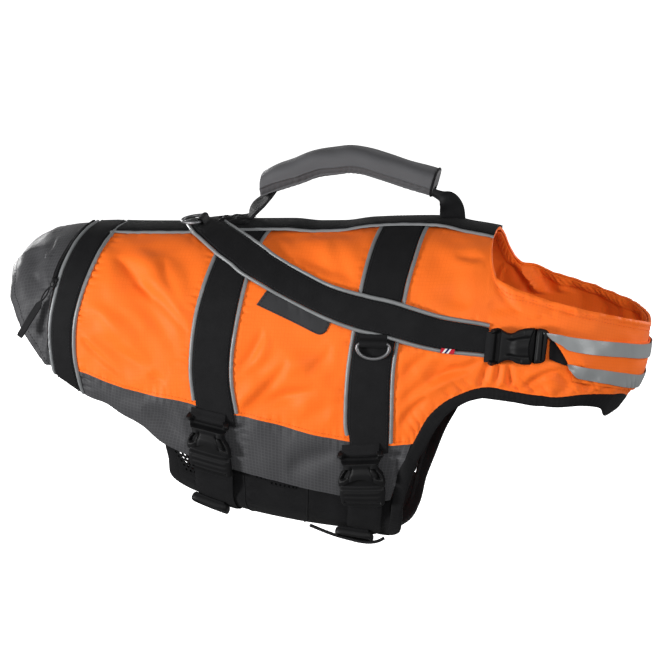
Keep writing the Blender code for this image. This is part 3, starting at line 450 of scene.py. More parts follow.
class MeshDraft:
    """Gathers points in millimetres, cloth coordinates and faces, and makes one object of them."""

    def __init__(self, name: str) -> None:
        """Starts an empty draft."""
        self.name = name
        self.points: list[Array] = []
        self.coords: list[Array] = []
        self.faces: list[Array] = []
        self.count = 0

    def add_points(self, points: Array, coords: Array | None = None) -> Array:
        """Adds points and returns their numbers in the same shape."""
        points = np.asarray(points, float)
        shape = points.shape[:-1]
        if coords is None:
            coords = points[..., :2] * MM
        flat = points.reshape(-1, 3)
        self.points.append(flat)
        self.coords.append(np.broadcast_to(coords, (*shape, 2)).reshape(-1, 2))
        numbers = self.count + np.arange(len(flat)).reshape(shape)
        self.count += len(flat)
        return numbers

    def add_faces(self, faces: Array) -> None:
        """Adds faces that all have the same number of corners."""
        self.faces.append(np.asarray(faces, int))

    def add_cells(self, numbers: Array) -> None:
        """Adds a quad for each cell of a grid of point numbers."""
        corners = [numbers[:-1, :-1], numbers[1:, :-1], numbers[1:, 1:], numbers[:-1, 1:]]
        self.add_faces(np.stack(corners, axis=-1).reshape(-1, 4))

    def add_grid(self, points: Array, coords: Array | None = None) -> Array:
        """Adds an open grid of points with its faces."""
        numbers = self.add_points(points, coords)
        self.add_cells(numbers)
        return numbers

    def add_tube(self, rings: Array, coords: Array | None = None, capped: bool = True,
            closed: bool = False) -> None:
        """Adds a body through rings of points.

        Args:
            rings: Points, ring by ring.
            coords: Cloth coordinates of the points.
            capped: Whether both ends get a cap.
            closed: Whether the last ring joins the first one.
        """
        rings = np.asarray(rings, float)
        if coords is None:
            coords = tube_coords(rings)
        rings = np.concatenate([rings, rings[:, :1]], axis=1)
        if coords.shape[1] < rings.shape[1]:
            step = coords[:, -1:] - coords[:, -2:-1]
            coords = np.concatenate([coords, coords[:, -1:] + step], axis=1)
        if closed:
            rings = np.concatenate([rings, rings[:1]])
            step = coords[-1:] - coords[-2:-1]
            coords = np.concatenate([coords, coords[-1:] + step])
        self.add_grid(rings, coords)
        if capped and not closed:
            for ring, spots in ((rings[0, :-1], coords[0, :-1]), (rings[-1, :-1], coords[-1, :-1])):
                rim = self.add_points(ring, spots)
                middle = self.add_points(ring.mean(axis=0)[None], spots.mean(axis=0)[None])
                after = np.roll(rim, -1)
                self.add_faces(np.stack([rim, after, np.full_like(rim, middle[0])], axis=-1))

    def add_wall(self, outer: Array, inner: Array, coords: Array) -> None:
        """Adds a closed wall between two grids, the inner one with all or a whole fraction of the cells."""
        into_step = (outer.shape[0] - 1) // (inner.shape[0] - 1)
        over_step = (outer.shape[1] - 1) // (inner.shape[1] - 1)
        front = self.add_grid(outer, coords)
        back = self.add_grid(inner, coords[::into_step, ::over_step])
        for edge, under, step in ((front[0], back[0], over_step), (front[-1], back[-1], over_step),
                (front[:, 0], back[:, 0], into_step), (front[:, -1], back[:, -1], into_step)):
            corners = [edge[k : len(edge) - step + k : step] for k in range(step)]
            corners += [edge[step::step], under[1:], under[:-1]]
            self.add_faces(np.stack(corners, axis=-1))

    def build(self, material: Material, smooth_degrees: float = 40, weld: bool = True) -> Thing:
        """Makes the object, with edges sharper than smooth_degrees left sharp."""
        mesh = bpy.data.meshes.new(self.name)
        points = np.concatenate(self.points) * MM
        coords = np.concatenate(self.coords)
        corners = np.concatenate([faces.ravel() for faces in self.faces])
        sizes = np.concatenate([np.full(len(faces), faces.shape[1]) for faces in self.faces])
        mesh.vertices.add(len(points))
        mesh.vertices.foreach_set("co", points.ravel().astype(np.float32))
        mesh.loops.add(len(corners))
        mesh.loops.foreach_set("vertex_index", corners.astype(np.int32))
        mesh.polygons.add(len(sizes))
        starts = np.concatenate([[0], np.cumsum(sizes)[:-1]])
        mesh.polygons.foreach_set("loop_start", starts.astype(np.int32))
        layer = mesh.uv_layers.new(name=CLOTH_UV)
        layer.uv.foreach_set("vector", coords[corners].ravel().astype(np.float32))
        mesh.update(calc_edges=True)
        body = bmesh.new()
        body.from_mesh(mesh)
        if weld:
            bmesh.ops.remove_doubles(body, verts=body.verts, dist=2e-6)
            bmesh.ops.dissolve_degenerate(body, edges=body.edges, dist=1e-7)
        bmesh.ops.recalc_face_normals(body, faces=body.faces)
        body.to_mesh(mesh)
        body.free()
        mesh.shade_smooth()
        mesh.set_sharp_from_angle(angle=math.radians(smooth_degrees))
        mesh.materials.append(material)
        return show(self.name, mesh)


def tube_coords(rings: Array) -> Array:
    """Cloth coordinates of a tube: metres along it and metres round it."""
    middles = rings.mean(axis=1)
    along = travel(middles) * MM
    looped = np.concatenate([rings, rings[:, :1]], axis=1)
    girth = norm(np.diff(looped, axis=1), axis=2).sum(axis=1).mean() * MM
    around = np.linspace(0, girth, rings.shape[1] + 1)
    return np.stack(np.broadcast_arrays(along[:, None], around[None, :]), axis=-1)


def settle(made: Thing, slot: Slot, *nodes: str, body: Body = Body.JACKET) -> Thing:
    """Gives a finished piece its body and hides the nodes that it stands for."""
    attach(made, body.value)
    if nodes:
        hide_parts(*nodes)
    made.data.calc_loop_triangles()
    LOG.info("%s: %d triangles", made.name, len(made.data.loop_triangles))
    return made


def declare_cloth(spots: Spots) -> None:
    """Measures the flat lengths and area of the cloth between a grid's edges, and keeps none of them."""
    points = BODY.point(spots.station, spots.angle)
    rows = norm(np.diff(points, axis=1), axis=2).sum(axis=1)
    lines = norm(np.diff(points, axis=0), axis=2).sum(axis=0)
    across = points[1:, :-1] - points[:-1, :-1]
    along = points[:-1, 1:] - points[:-1, :-1]
    area = norm(np.cross(across, along), axis=2).sum() * MM * MM


FOLDS = table(Crease, (-222, 42, -158, 96, 13, -6.8), (-205, 38, -152, 66, 11, 4.5),
    (-246, 98, -166, 108, 12, -5.2), (-238, 78, -180, 112, 10, 3.8), (-84, 92, -30, 112, 12, -5.2),
    (-70, 76, 2, 100, 11, 3.8), (-52, 34, 20, 44, 12, -4.5), (92, 98, 128, 78, 12, -6.0),
    (74, 106, 118, 96, 10, 4.5), (96, 30, 132, 62, 13, -5.2), (152, 60, 196, 76, 11, -5.2),
    (176, 98, 240, 112, 9, 4.5), (208, 104, 262, 116, 9, -5.2), (226, 66, 330, 84, 10, -3.8),
    (-150, 130, -60, 134, 10, -3.0), (-315, -20, -317, 24, 9, -3.2), (-314, 30, -300, 96, 10, -5.2),
    (-326, 20, -322, 74, 8, 3.8), (-300, 96, -322, 84, 8, 3.0))
RIGHT_CREASES = table(Crease, (-225, 44, -183, 69, 6, -2.2, 3), (-205, 58, -146, 82, 6, -2.7, 4),
    (-178, 42, -147, 71, 6, -2.3, -4), (-253, 78, -197, 92, 9, 1.6, 3), (-260, 97, -217, 114, 4, -2.2, -4),
    (-226, 102, -185, 108, 6, -1.1), (-188, 110, -169, 112, 5, -1.7), (-242, 37, -224, 76, 10, 1.2, 4),
    (-216, 74, -158, 98, 8, 1, 5), (-245, 106, -209, 122, 5, 1.1), (-71, 71, -96, 96, 4, -2.5, 3),
    (-96, 118, -45, 86, 5, -3.5, -4), (-92, 120, -17, 100, 6, -3.4, 5), (-2, 75, -26, 92, 5, -1.8, 3),
    (-75, 103, -1, 78, 8, 1.6, 4), (-36, 117, 9, 105, 7, -1.2), (6, 92, -5, 116, 6, 1.2),
    (-63, 76, -79, 92, 5, 1), (-53, 26, -3, 42, 8, -1.4, 3), (-10, 20, 17, 46, 7, -1.3, -3),
    (-68, 22, -21, 35, 7, 1), (115, 32, 144, 36, 4, -1.3), (112, 36, 146, 40, 5, 1),
    (155, 46, 183, 68, 4, -2.2, -3), (62, 110, 125, 93, 6, -3.4, 4), (68, 95, 101, 81, 5, -1.9, 3),
    (153, 94, 144, 108, 3.4, -2.9), (163, 96, 159, 110, 3.2, -3.0), (172, 98, 174, 112, 3.2, -2.7),
    (78, 104, 134, 99, 6, 1.6, 3), (65, 120, 93, 106, 5, -2.8, 2), (103, 96, 146, 92, 5, -2.2, -3),
    (183, 114, 221, 104, 4, -2.4, 2), (217, 103, 240, 118, 4, -1.4), (189, 104, 215, 110, 5, 1.2),
    (93, 50, 133, 61, 8, -1.2, 2), (167, 60, 214, 74, 7, 1.1), (216, 64, 236, 70, 4, -1.4),
    (235, 72, 329, 84, 7, 1.1, 3), (251, 112, 268, 119, 4, -1.4), (98, 22, 109, 56, 10, 0.9, 4),
    (-195, 129, -153, 138, 8, -3.4, 4), (-49, 142, 1, 129, 8, -4.2, 4), (-82, 122, -64, 146, 12, 2),
    (-245, 130, -219, 144, 7, -1.5), (61, 129, 57, 146, 5, -3.4), (-218, 130, -187, 132, 7, 1.2),
    (-283, 22, -315, 46, 7, -1.8, 4), (-314, 54, -294, 71, 5, -1.3), (-294, 96, -306, 114, 5, -1.5),
    (-333, 29, -299, 34, 8, 1.1), (-307, 79, -328, 94, 5, -1.2, 3), (-281, 76, -296, 124, 6, 0.9))


@dataclass(frozen=True)
class FarSide:
    """How the left side's creases differ from the right side's: similar, and nowhere the same."""

    seed: int = 41
    slide: float = 9.0
    turn: float = 2.5
    depths: tuple[float, float] = (0.6, 1.1)
    widths: tuple[float, float] = (0.9, 1.3)

    def creases(self) -> tuple[Crease, ...]:
        """The left side's creases, moved and resized unevenly."""
        random = np.random.default_rng(self.seed)
        made = []
        for crease in RIGHT_CREASES:
            slide, lean = random.uniform(-self.slide, self.slide), random.uniform(-4, 4)
            turn = random.uniform(-self.turn, self.turn)
            made.append(Crease(crease.from_station + slide, crease.from_angle + turn, crease.to_station
                + slide + lean, crease.to_angle + turn, crease.width * random.uniform(*self.widths),
                crease.depth * random.uniform(*self.depths), crease.bow * random.uniform(-1, 1.4)))
        return tuple(made)


INNER_FOLDS = table(Crease, (163, 52, 188, 80, 5, -6.0, 3), (150, 50, 172, 74, 5, 5.4, 2),
    (149, 50, 136, 68, 2, -3.0, -2), (200, 60, 216, 88, 7, -3.4, -3), (236, 66, 252, 94, 8, 3.0, 3),
    (272, 72, 286, 98, 7, -3.0, 2), (310, 78, 318, 100, 6, 2.4, -2))
LEFT_CREASES = FarSide().creases() + INNER_FOLDS


def uneven(along: Array, seed: float) -> Array:
    """A smooth wandering value about one half, for spacing and depth that are never even."""
    first = 0.3 * np.sin(along / 9.7 + 5.1 * seed)
    second = 0.2 * np.sin(along / 4.3 + 2.3 * seed + 1.0)
    return np.clip(0.5 + first + second, 0, 1)


def slope_of(knots: Sequence[Knot], station: Array) -> Array:
    """How steeply a seam line runs, in millimetres of girth per millimetre of station."""
    return (seam_angle(knots, station + 1.0) - seam_angle(knots, station - 1.0)) / 2 * GIRTH_MM


NECK_EDGE = table(Knot, (149, 18), (151, 33), (155, 43), (162, 49), (190, 57), (219, 62.8), (263, 69.7),
    (310, 76.5), (355, 82))


def below(knots: Sequence[Knot], station: Array, angle: Array) -> Array:
    """Millimetres that a spot lies below a seam line, square to it."""
    return (np.abs(angle) - seam_angle(knots, station)) * GIRTH_MM / np.hypot(1, slope_of(knots, station))


def far_from(amount: Array, keep: Array) -> Array:
    """The amount where keep holds, and far away elsewhere."""
    return np.where(keep, amount, 1e3)


class Gather(NamedTuple):
    """Short puckers along a seam: how far off it a spot lies, how far along it, and their sizes."""

    off: Callable[[Array, Array], Array]
    along: Callable[[Array, Array], Array]
    pitch: float
    reach: float
    depth: float


def girth_run(station: Array, angle: Array) -> Array:
    """Millimetres round the girth."""
    return np.abs(angle) * GIRTH_MM


def length_run(station: Array, angle: Array) -> Array:
    """Millimetres along the back."""
    return station + 0.0 * angle


def slant_run(station: Array, angle: Array) -> Array:
    """Millimetres along a line that climbs as it goes forward."""
    return station - np.abs(angle) * GIRTH_MM * 0.7


def band_front(station: Array, angle: Array) -> Array:
    """Millimetres ahead of the rear band."""
    return station - smooth(np.abs(angle), column(BAND_ROWS, "a_angle"), column(BAND_ROWS, "b_station"))


BAND_ROWS = table(CrossRow, (-259, 0, -227, 0), (-263.4, 20, -233, 20), (-271.4, 40, -240.8, 40),
    (-278.6, 57, -249.2, 57), (-283, 71, -255.8, 71), (-288, 87, -262, 87), (-289.5, 100, -264, 100),
    (-289, 113, -263.7, 113), (-287, 124, -260, 127), (-285.6, 126.2, -257.5, 133))

GATHERS = (Gather(band_front, girth_run, 8.6, 6.5, 2.3),
    Gather(lambda s, a: girth_distance(s, a, REAR_GIRTH_ROWS), girth_run, 8.2, 6.5, 1.7),
    Gather(lambda s, a: girth_distance(s, a, FRONT_GIRTH_ROWS), girth_run, 9.4, 6.0, 1.2),
    Gather(shoulder_distance, length_run, 10.6, 6.0, 0.9),
    Gather(spine_distance, length_run, 10.2, 5.0, 0.8),
    Gather(lambda s, a: far_from(-below(BOTTOM_EDGE, s, a), s > 62), slant_run, 11.2, 10.0, 2.1),
    Gather(lambda s, a: far_from(below(NECK_EDGE, s, a), s > 146), length_run, 8.0, 6.0, 0.9),
    Gather(lambda s, a: far_from(np.abs(below(FLANK_SEAM, s, a)), s < 76), length_run, 9.0, 6.0, 1.2),
    Gather(lambda s, a: far_from(np.abs(s + 294), np.abs(a) > 8), girth_run, 8.2, 6.0, 1.0))


@dataclass(frozen=True)
class Drape:
    """The folds, creases, puckers and waves of the cloth, held flat under the straps."""

    wave_height: float = 0.42
    crease_gain: float = 1.15
    fold_gain: float = 0.6
    lip: float = 0.5
    pucker_start: float = 2.0

    def crease_field(self, station: Array, spot: Array, creases: Sequence[Crease]) -> Array:
        """Height of all creases of a table, each with a lip along one side, at places from the spine."""
        total = np.zeros(np.shape(station))
        for crease in creases:
            start = np.array([crease.from_station, crease.from_angle * GIRTH_MM])
            run = np.array([crease.to_station, crease.to_angle * GIRTH_MM]) - start
            length = math.hypot(*run)
            off = np.stack([station, spot * GIRTH_MM], axis=-1) - start
            t = off @ run / length**2
            middle = np.clip(4 * t * (1 - t), 0, 1)
            across = (off[..., 0] * run[1] - off[..., 1] * run[0]) / length - crease.bow * middle
            share = across / (crease.width * (0.6 + 0.5 * middle))
            shape = np.exp(-(share**2)) - self.lip * np.exp(-(((share - 2.0) / 1.3) ** 2))
            total += crease.depth * middle**0.8 * shape
        return total

    def held(self, station: Array, angle: Array, full: float, ramp: float) -> Array:
        """One on and close to the straps, nought away from them."""
        return np.maximum.reduce([fade(girth_distance(station, angle, REAR_GIRTH_ROWS), full, ramp),
            fade(girth_distance(station, angle, FRONT_GIRTH_ROWS), full, ramp),
            fade(spine_distance(station, angle), full, ramp), fade(shoulder_distance(station, angle), full,
            ramp), fade(zip_distance(station), full, ramp - 2)])

    def puckers(self, station: Array, spot: Array) -> Array:
        """Height of the gathers along the seams."""
        total = np.zeros(np.shape(station))
        for seed, gather in enumerate(GATHERS):
            off = gather.off(station, spot)
            along = gather.along(station, spot)
            phase = math.tau * along / gather.pitch
            phase = phase + 2.4 * np.sin(along / 23 + seed) + 1.6 * np.sin(along / 13)
            valley = (0.5 + 0.5 * np.cos(phase)) ** 3
            inside = step_up(off, 0, self.pucker_start * 1.5)
            reach = gather.reach * (0.6 + 0.9 * uneven(along, seed + 1.7))
            strength = gather.depth * (0.1 + 1.35 * uneven(along, seed + 3.1))
            total += strength * inside * np.exp(-np.clip(off / reach, 0, 9) ** 2) * (0.35 - valley)
        return total

    def waves(self, station: Array, spot: Array) -> Array:
        """Low waves that no stretched cloth is without."""
        across = spot * GIRTH_MM
        return self.wave_height * (np.sin(station / 8.3 + 1.3 * np.sin(across / 17))
            * np.sin(across / 10.1 + 1.1 * np.sin(station / 14 + 0.6)) + 0.6
            * np.sin((station + 0.7 * across) / 5.9 + np.sin(across / 12)) * np.sin((across - 0.4 * station)
            / 13.0))

    def relief(self, station: Array, angle: Array) -> Array:
        """How far the cloth stands off the smooth body, in millimetres."""
        turn = np.radians(angle)
        left = (np.sin(turn) < 0) != (station > BODY.nose_centre)
        spot = 180 - np.abs(180 - np.abs(angle) % 360)
        station = BODY.folded(station)
        folds = self.fold_gain * self.crease_field(station, spot, FOLDS)
        fine = np.where(left, self.crease_field(station, spot, LEFT_CREASES),
            self.crease_field(station, spot, RIGHT_CREASES))
        behind_nose = step_up(BODY.nose_centre - station, 1, 18)
        calm = step_up(spot, 2, 10) * (1 - step_up(spot, 158, 168)) * behind_nose
        fine = (self.crease_gain * fine + self.waves(station, spot + 7 * left)) * calm
        drawn = self.puckers(station, spot + 1.1 * left) * calm * (1 - self.held(station, spot, 0, 2.5))
        folds = folds * (1 - self.held(station, spot, 5, 14))
        return folds + fine * (1 - self.held(station, spot, 1.5, 6)) + drawn

    def skin(self, spots: Spots, lift: Array | float) -> Array:
        """Points on the draped cloth, lift millimetres above it."""
        height = self.relief(spots.station, spots.angle) + lift
        return BODY.lifted(spots.station, spots.angle, height)


DRAPE = Drape()


def sew(name: str, spots: Spots, lifts: Sequence[Array | float], look: tuple[Material, Slot],
        node: str = "", held: str = "", degrees: float = 60,
        every: int = 1) -> Thing:
    """Makes a wall of cloth on the body.

    Args:
        name: The piece's name.
        spots: Its grid.
        lifts: How far its outer and inner faces lie off the draped cloth.
        look: Its material and slot.
        node: The solid that it stands for.
        held: How the cloth is held, where it is declared as a sheet.
        degrees: Edges sharper than this stay sharp.
        every: How many of the outer face's cells one inner cell spans.

    Returns:
        The finished piece.
    """
    top, low = (DRAPE.skin(spots, lift) for lift in lifts)
    draft = MeshDraft(name)
    draft.add_wall(top, low[::every, ::every], spots.coords)
    made = settle(draft.build(look[0], degrees, weld=False), look[1], *([node] if node else []))
    if held:
        declare_cloth(spots)
    return made


class NodeTree:
    """A tree of nodes that grows by one node at a time."""

    tree: bpy.types.NodeTree
    way_in: bpy.types.Node

    def node(self, kind: str, inputs: dict | None = None, **settings: str | bool) -> bpy.types.Node:
        """Adds a node, with inputs given as values, sockets or names of the tree's inputs."""
        made = self.tree.nodes.new(kind)
        for name, value in settings.items():
            setattr(made, name, value)
        for name, value in (inputs or {}).items():
            if isinstance(value, str):
                value = self.way_in.outputs[value]
            if isinstance(value, Socket):
                self.tree.links.new(value, made.inputs[name])
            else:
                made.inputs[name].default_value = value
        return made


class Sketch(NodeTree):
    """Builds a material's node tree."""

    def __init__(self, name: str) -> None:
        """Starts a material with a Principled shader."""
        self.material = bpy.data.materials.new(name)
        self.material.use_nodes = True
        self.tree = self.material.node_tree
        self.shader = self.tree.nodes["Principled BSDF"]

    def set(self, **values: float | tuple[float, ...]) -> None:
        """Sets plain values on the shader's own sockets."""
        for name, value in values.items():
            socket = self.shader.inputs[name.replace("_", " ")]
            socket.default_value = (*value, 1) if isinstance(value, tuple) else value

    def feed(self, source: Socket, name: str) -> None:
        """Links a socket to one of the shader's inputs."""
        self.tree.links.new(source, self.shader.inputs[name])

    def math(self, operation: str, first: object, second: object = 0.5) -> Socket:
        """One sum of two values or sockets."""
        return self.node("ShaderNodeMath", {0: first, 1: second}, operation=operation).outputs[0]

    def place(self) -> Socket:
        """Object coordinates."""
        return self.node("ShaderNodeTexCoord").outputs["Object"]

    def cloth(self) -> tuple[Socket, Socket]:
        """Cloth coordinates along and across the piece, in metres."""
        source = self.node("ShaderNodeUVMap", uv_map=CLOTH_UV).outputs[0]
        split = self.node("ShaderNodeSeparateXYZ", {0: source})
        return split.outputs[0], split.outputs[1]

    def noise(self, scale: float, detail: float = 3.0, roughness: float = 0.5) -> Socket:
        """Noise over the object, at so many waves a metre."""
        settings = {"Vector": self.place(), "Scale": scale, "Detail": detail, "Roughness": roughness}
        return self.node("ShaderNodeTexNoise", settings).outputs[0]

    def ridges(self, along: Socket, pitch: float) -> Socket:
        """Even ridges from nought to one, a pitch apart in metres."""
        turns = self.math("MULTIPLY", along, math.tau / pitch)
        wave = self.math("SINE", turns)
        return self.math("MULTIPLY_ADD", wave, 0.5)

    def blend(self, factor: object, first: object, second: object) -> Socket:
        """Mixes two colours, given as values or sockets."""
        colours = ((*value, 1) if isinstance(value, tuple) else value for value in (first, second))
        return self.node("ShaderNodeMix", dict(zip((0, 6, 7), (factor, *colours))),
            data_type="RGBA").outputs[2]

    def bump(self, height: Socket, depth: float, strength: float = 1.0) -> None:
        """Adds a bump of a depth in metres to the shader, over any that is there."""
        inputs = {"Strength": strength, "Distance": depth, "Height": height}
        before = self.shader.inputs["Normal"].links
        if before:
            inputs["Normal"] = before[0].from_socket
        self.feed(self.node("ShaderNodeBump", inputs).outputs[0], "Normal")


Colour = tuple[float, float, float]


@dataclass(frozen=True)
class WovenCloth:
    """Coated nylon cloth: a fine weave, thicker ripstop threads, cloudy colour and a soft sheen."""

    name: str
    colour: Colour
    shade: Colour
    rip: Colour
    along_pitch: float = 0.0
    across_pitch: float = 0.0
    thread: float = 0.0006
    roughness: float = 0.55
    sheen: float = 0.04
    gloss: float = 0.16
    rip_share: float = 0.12
    rip_blend: float = 0.2

    def build(self) -> Material:
        """Makes the material."""
        sketch = Sketch(self.name)
        along, across = sketch.cloth()
        cloud = sketch.noise(24.0, 4.0)
        grain = sketch.noise(900.0, 2.0)
        mixed = sketch.math("MULTIPLY_ADD", cloud, 0.8)
        mixed = sketch.math("ADD", sketch.math("SUBTRACT", mixed, 0.4),
            sketch.math("MULTIPLY", grain, 0.12))
        colour = sketch.blend(mixed, self.colour, self.shade)
        warp = sketch.ridges(along, self.thread)
        weft = sketch.ridges(across, self.thread)
        weave = sketch.math("MULTIPLY", warp, weft)
        ripped = None
        for socket, pitch in ((along, self.along_pitch), (across, self.across_pitch)):
            if pitch:
                line = sketch.math("GREATER_THAN", sketch.ridges(socket, pitch), 1 - self.rip_share)
                ripped = line if ripped is None else sketch.math("MAXIMUM", ripped, line)
        if ripped is not None:
            colour = sketch.blend(sketch.math("MULTIPLY", ripped, self.rip_blend), colour, self.rip)
        sketch.feed(colour, "Base Color")
        sketch.set(Roughness=self.roughness, Sheen_Weight=self.sheen, Sheen_Roughness=0.45)
        sketch.set(Specular_IOR_Level=self.gloss)
        sketch.bump(weave, 0.00012, 0.5)
        if ripped is not None:
            sketch.bump(ripped, 0.00008, 0.5)
        sketch.bump(sketch.noise(110.0, 3.0), 0.0005, 0.35)
        return sketch.material


@dataclass(frozen=True)
class WovenTape:
    """Webbing: heavy ribs across the strap, crossed by a fine twill, slightly worn on the ribs."""

    name: str
    colour: Colour = (0.0062, 0.0062, 0.0068)
    worn: Colour = (0.015, 0.015, 0.016)
    rib: float = 0.0016
    roughness: float = 0.68

    def build(self) -> Material:
        """Makes the material."""
        sketch = Sketch(self.name)
        along, across = sketch.cloth()
        slant = sketch.math("ADD", along, across)
        counter = sketch.math("SUBTRACT", along, across)
        rib = sketch.ridges(slant, self.rib)
        cross = sketch.ridges(counter, self.rib)
        weave = sketch.math("MAXIMUM", rib, cross)
        wear = sketch.math("MULTIPLY", sketch.noise(70.0, 4.0), weave)
        sketch.feed(sketch.blend(sketch.math("MULTIPLY", wear, 0.9), self.colour, self.worn), "Base Color")
        sketch.set(Roughness=self.roughness, Sheen_Weight=0.01, Specular_IOR_Level=0.1)
        sketch.bump(weave, 0.0003, 0.6)
        sketch.bump(sketch.noise(260.0, 3.0), 0.0003, 0.3)
        return sketch.material


@dataclass(frozen=True)
class ReflectiveTrim:
    """Silver-grey reflective cloth with glass beads that glitter a little."""

    name: str
    colour: Colour = (0.24, 0.25, 0.255)
    dull: Colour = (0.16, 0.165, 0.17)
    roughness: float = 0.44
    metallic: float = 0.12

    def build(self) -> Material:
        """Makes the material."""
        sketch = Sketch(self.name)
        beads = sketch.node("ShaderNodeTexVoronoi", {"Vector": sketch.place(), "Scale": 1500.0})
        cloud = sketch.noise(45.0, 3.0)
        sketch.feed(sketch.blend(cloud, self.colour, self.dull), "Base Color")
        sketch.set(Roughness=self.roughness, Metallic=self.metallic, Coat_Weight=0.1, Coat_Roughness=0.3)
        sketch.bump(beads.outputs["Distance"], 0.0001, 0.35)
        sketch.bump(sketch.noise(150.0, 2.0), 0.0004, 0.25)
        return sketch.material


@dataclass(frozen=True)
class MouldedPlastic:
    """Black moulded plastic: glossy, with faint flow marks and handling scuffs."""

    name: str
    colour: Colour = (0.0025, 0.0025, 0.003)
    scuffed: Colour = (0.007, 0.007, 0.0075)
    roughness: float = 0.2

    def build(self) -> Material:
        """Makes the material."""
        sketch = Sketch(self.name)
        scuff = sketch.noise(60.0, 6.0, 0.6)
        sharp = sketch.math("POWER", scuff, 3.0)
        sketch.feed(sketch.blend(sharp, self.colour, self.scuffed), "Base Color")
        sketch.feed(sketch.math("MULTIPLY_ADD", scuff, self.roughness * 0.6), "Roughness")
        sketch.set(Specular_IOR_Level=0.24)
        sketch.bump(sketch.noise(2200.0, 2.0), 0.00003, 0.4)
        return sketch.material


@dataclass(frozen=True)
class DarkChrome:
    """Polished dark metal with fine smears."""

    name: str
    colour: Colour = (0.26, 0.26, 0.27)
    roughness: float = 0.07

    def build(self) -> Material:
        """Makes the material."""
        sketch = Sketch(self.name)
        smear = sketch.noise(120.0, 4.0)
        deep = tuple(value * 0.7 for value in self.colour)
        sketch.feed(sketch.blend(smear, self.colour, deep), "Base Color")
        sketch.feed(sketch.math("MULTIPLY_ADD", smear, self.roughness * 0.5), "Roughness")
        sketch.set(Metallic=1.0)
        sketch.bump(sketch.noise(700.0, 2.0), 0.00003, 0.3)
        return sketch.material


@dataclass(frozen=True)
class Braid:
    """Braided elastic or sewing thread: strands that cross on the slant, with a painted highlight where
    they cross and painted shade in the hollows between them.
    """

    name: str
    colour: Colour = (0.007, 0.007, 0.0075)
    light: Colour = (0.022, 0.022, 0.024)
    strand: float = 0.0014
    roughness: float = 0.62

    def build(self) -> Material:
        """Makes the material."""
        sketch = Sketch(self.name)
        along, around = sketch.cloth()
        first = sketch.ridges(sketch.math("ADD", along, around), self.strand)
        second = sketch.ridges(sketch.math("SUBTRACT", along, around), self.strand)
        braid = sketch.math("MULTIPLY", first, second)
        # Painted light and shade: the light colour goes on the raised crossings of the strands and the base
        # colour in the hollows between them, following the braid's height.
        sketch.feed(sketch.blend(braid, self.colour, self.light), "Base Color")
        sketch.set(Roughness=self.roughness, Specular_IOR_Level=0.15)
        sketch.bump(braid, 0.0003, 0.6)
        return sketch.material


@dataclass(frozen=True)
class StripedTab:
    """A woven tab whose stripes run across it: red, white, blue, white and red."""

    name: str
    length: float
    red: Colour = (0.5, 0.012, 0.03)
    white: Colour = (0.78, 0.78, 0.76)
    blue: Colour = (0.008, 0.02, 0.11)

    def build(self) -> Material:
        """Makes the material."""
        sketch = Sketch(self.name)
        along, across = sketch.cloth()
        slant = sketch.math("MULTIPLY", across, 0.4)
        share = sketch.math("DIVIDE", sketch.math("ADD", along, slant), self.length)
        ramp = sketch.node("ShaderNodeValToRGB", {0: share})
        ramp.color_ramp.interpolation = "CONSTANT"
        stops = ((0.0, self.red), (0.27, self.white), (0.4, self.blue),
            (0.56, self.white), (0.68, self.red))
        while len(ramp.color_ramp.elements) < len(stops):
            ramp.color_ramp.elements.new(0.5)
        for element, (position, colour) in zip(ramp.color_ramp.elements, stops):
            element.position = position
            element.color = (*colour, 1)
        sketch.feed(ramp.outputs[0], "Base Color")
        sketch.set(Roughness=0.6, Specular_IOR_Level=0.2)
        sketch.bump(sketch.ridges(across, 0.0005), 0.0002, 0.5)
        return sketch.material


@dataclass(frozen=True)
class PaleFloor:
    """A plain pale floor that glows enough to stay white."""

    name: str
    colour: Colour = (0.9, 0.9, 0.9)
    glow: float = 1.0

    def build(self) -> Material:
        """Makes the material."""
        sketch = Sketch(self.name)
        sketch.set(Base_Color=self.colour, Roughness=0.9, Specular_IOR_Level=0.1)
        sketch.set(Emission_Color=(1.0, 1.0, 1.0), Emission_Strength=self.glow)
        return sketch.material


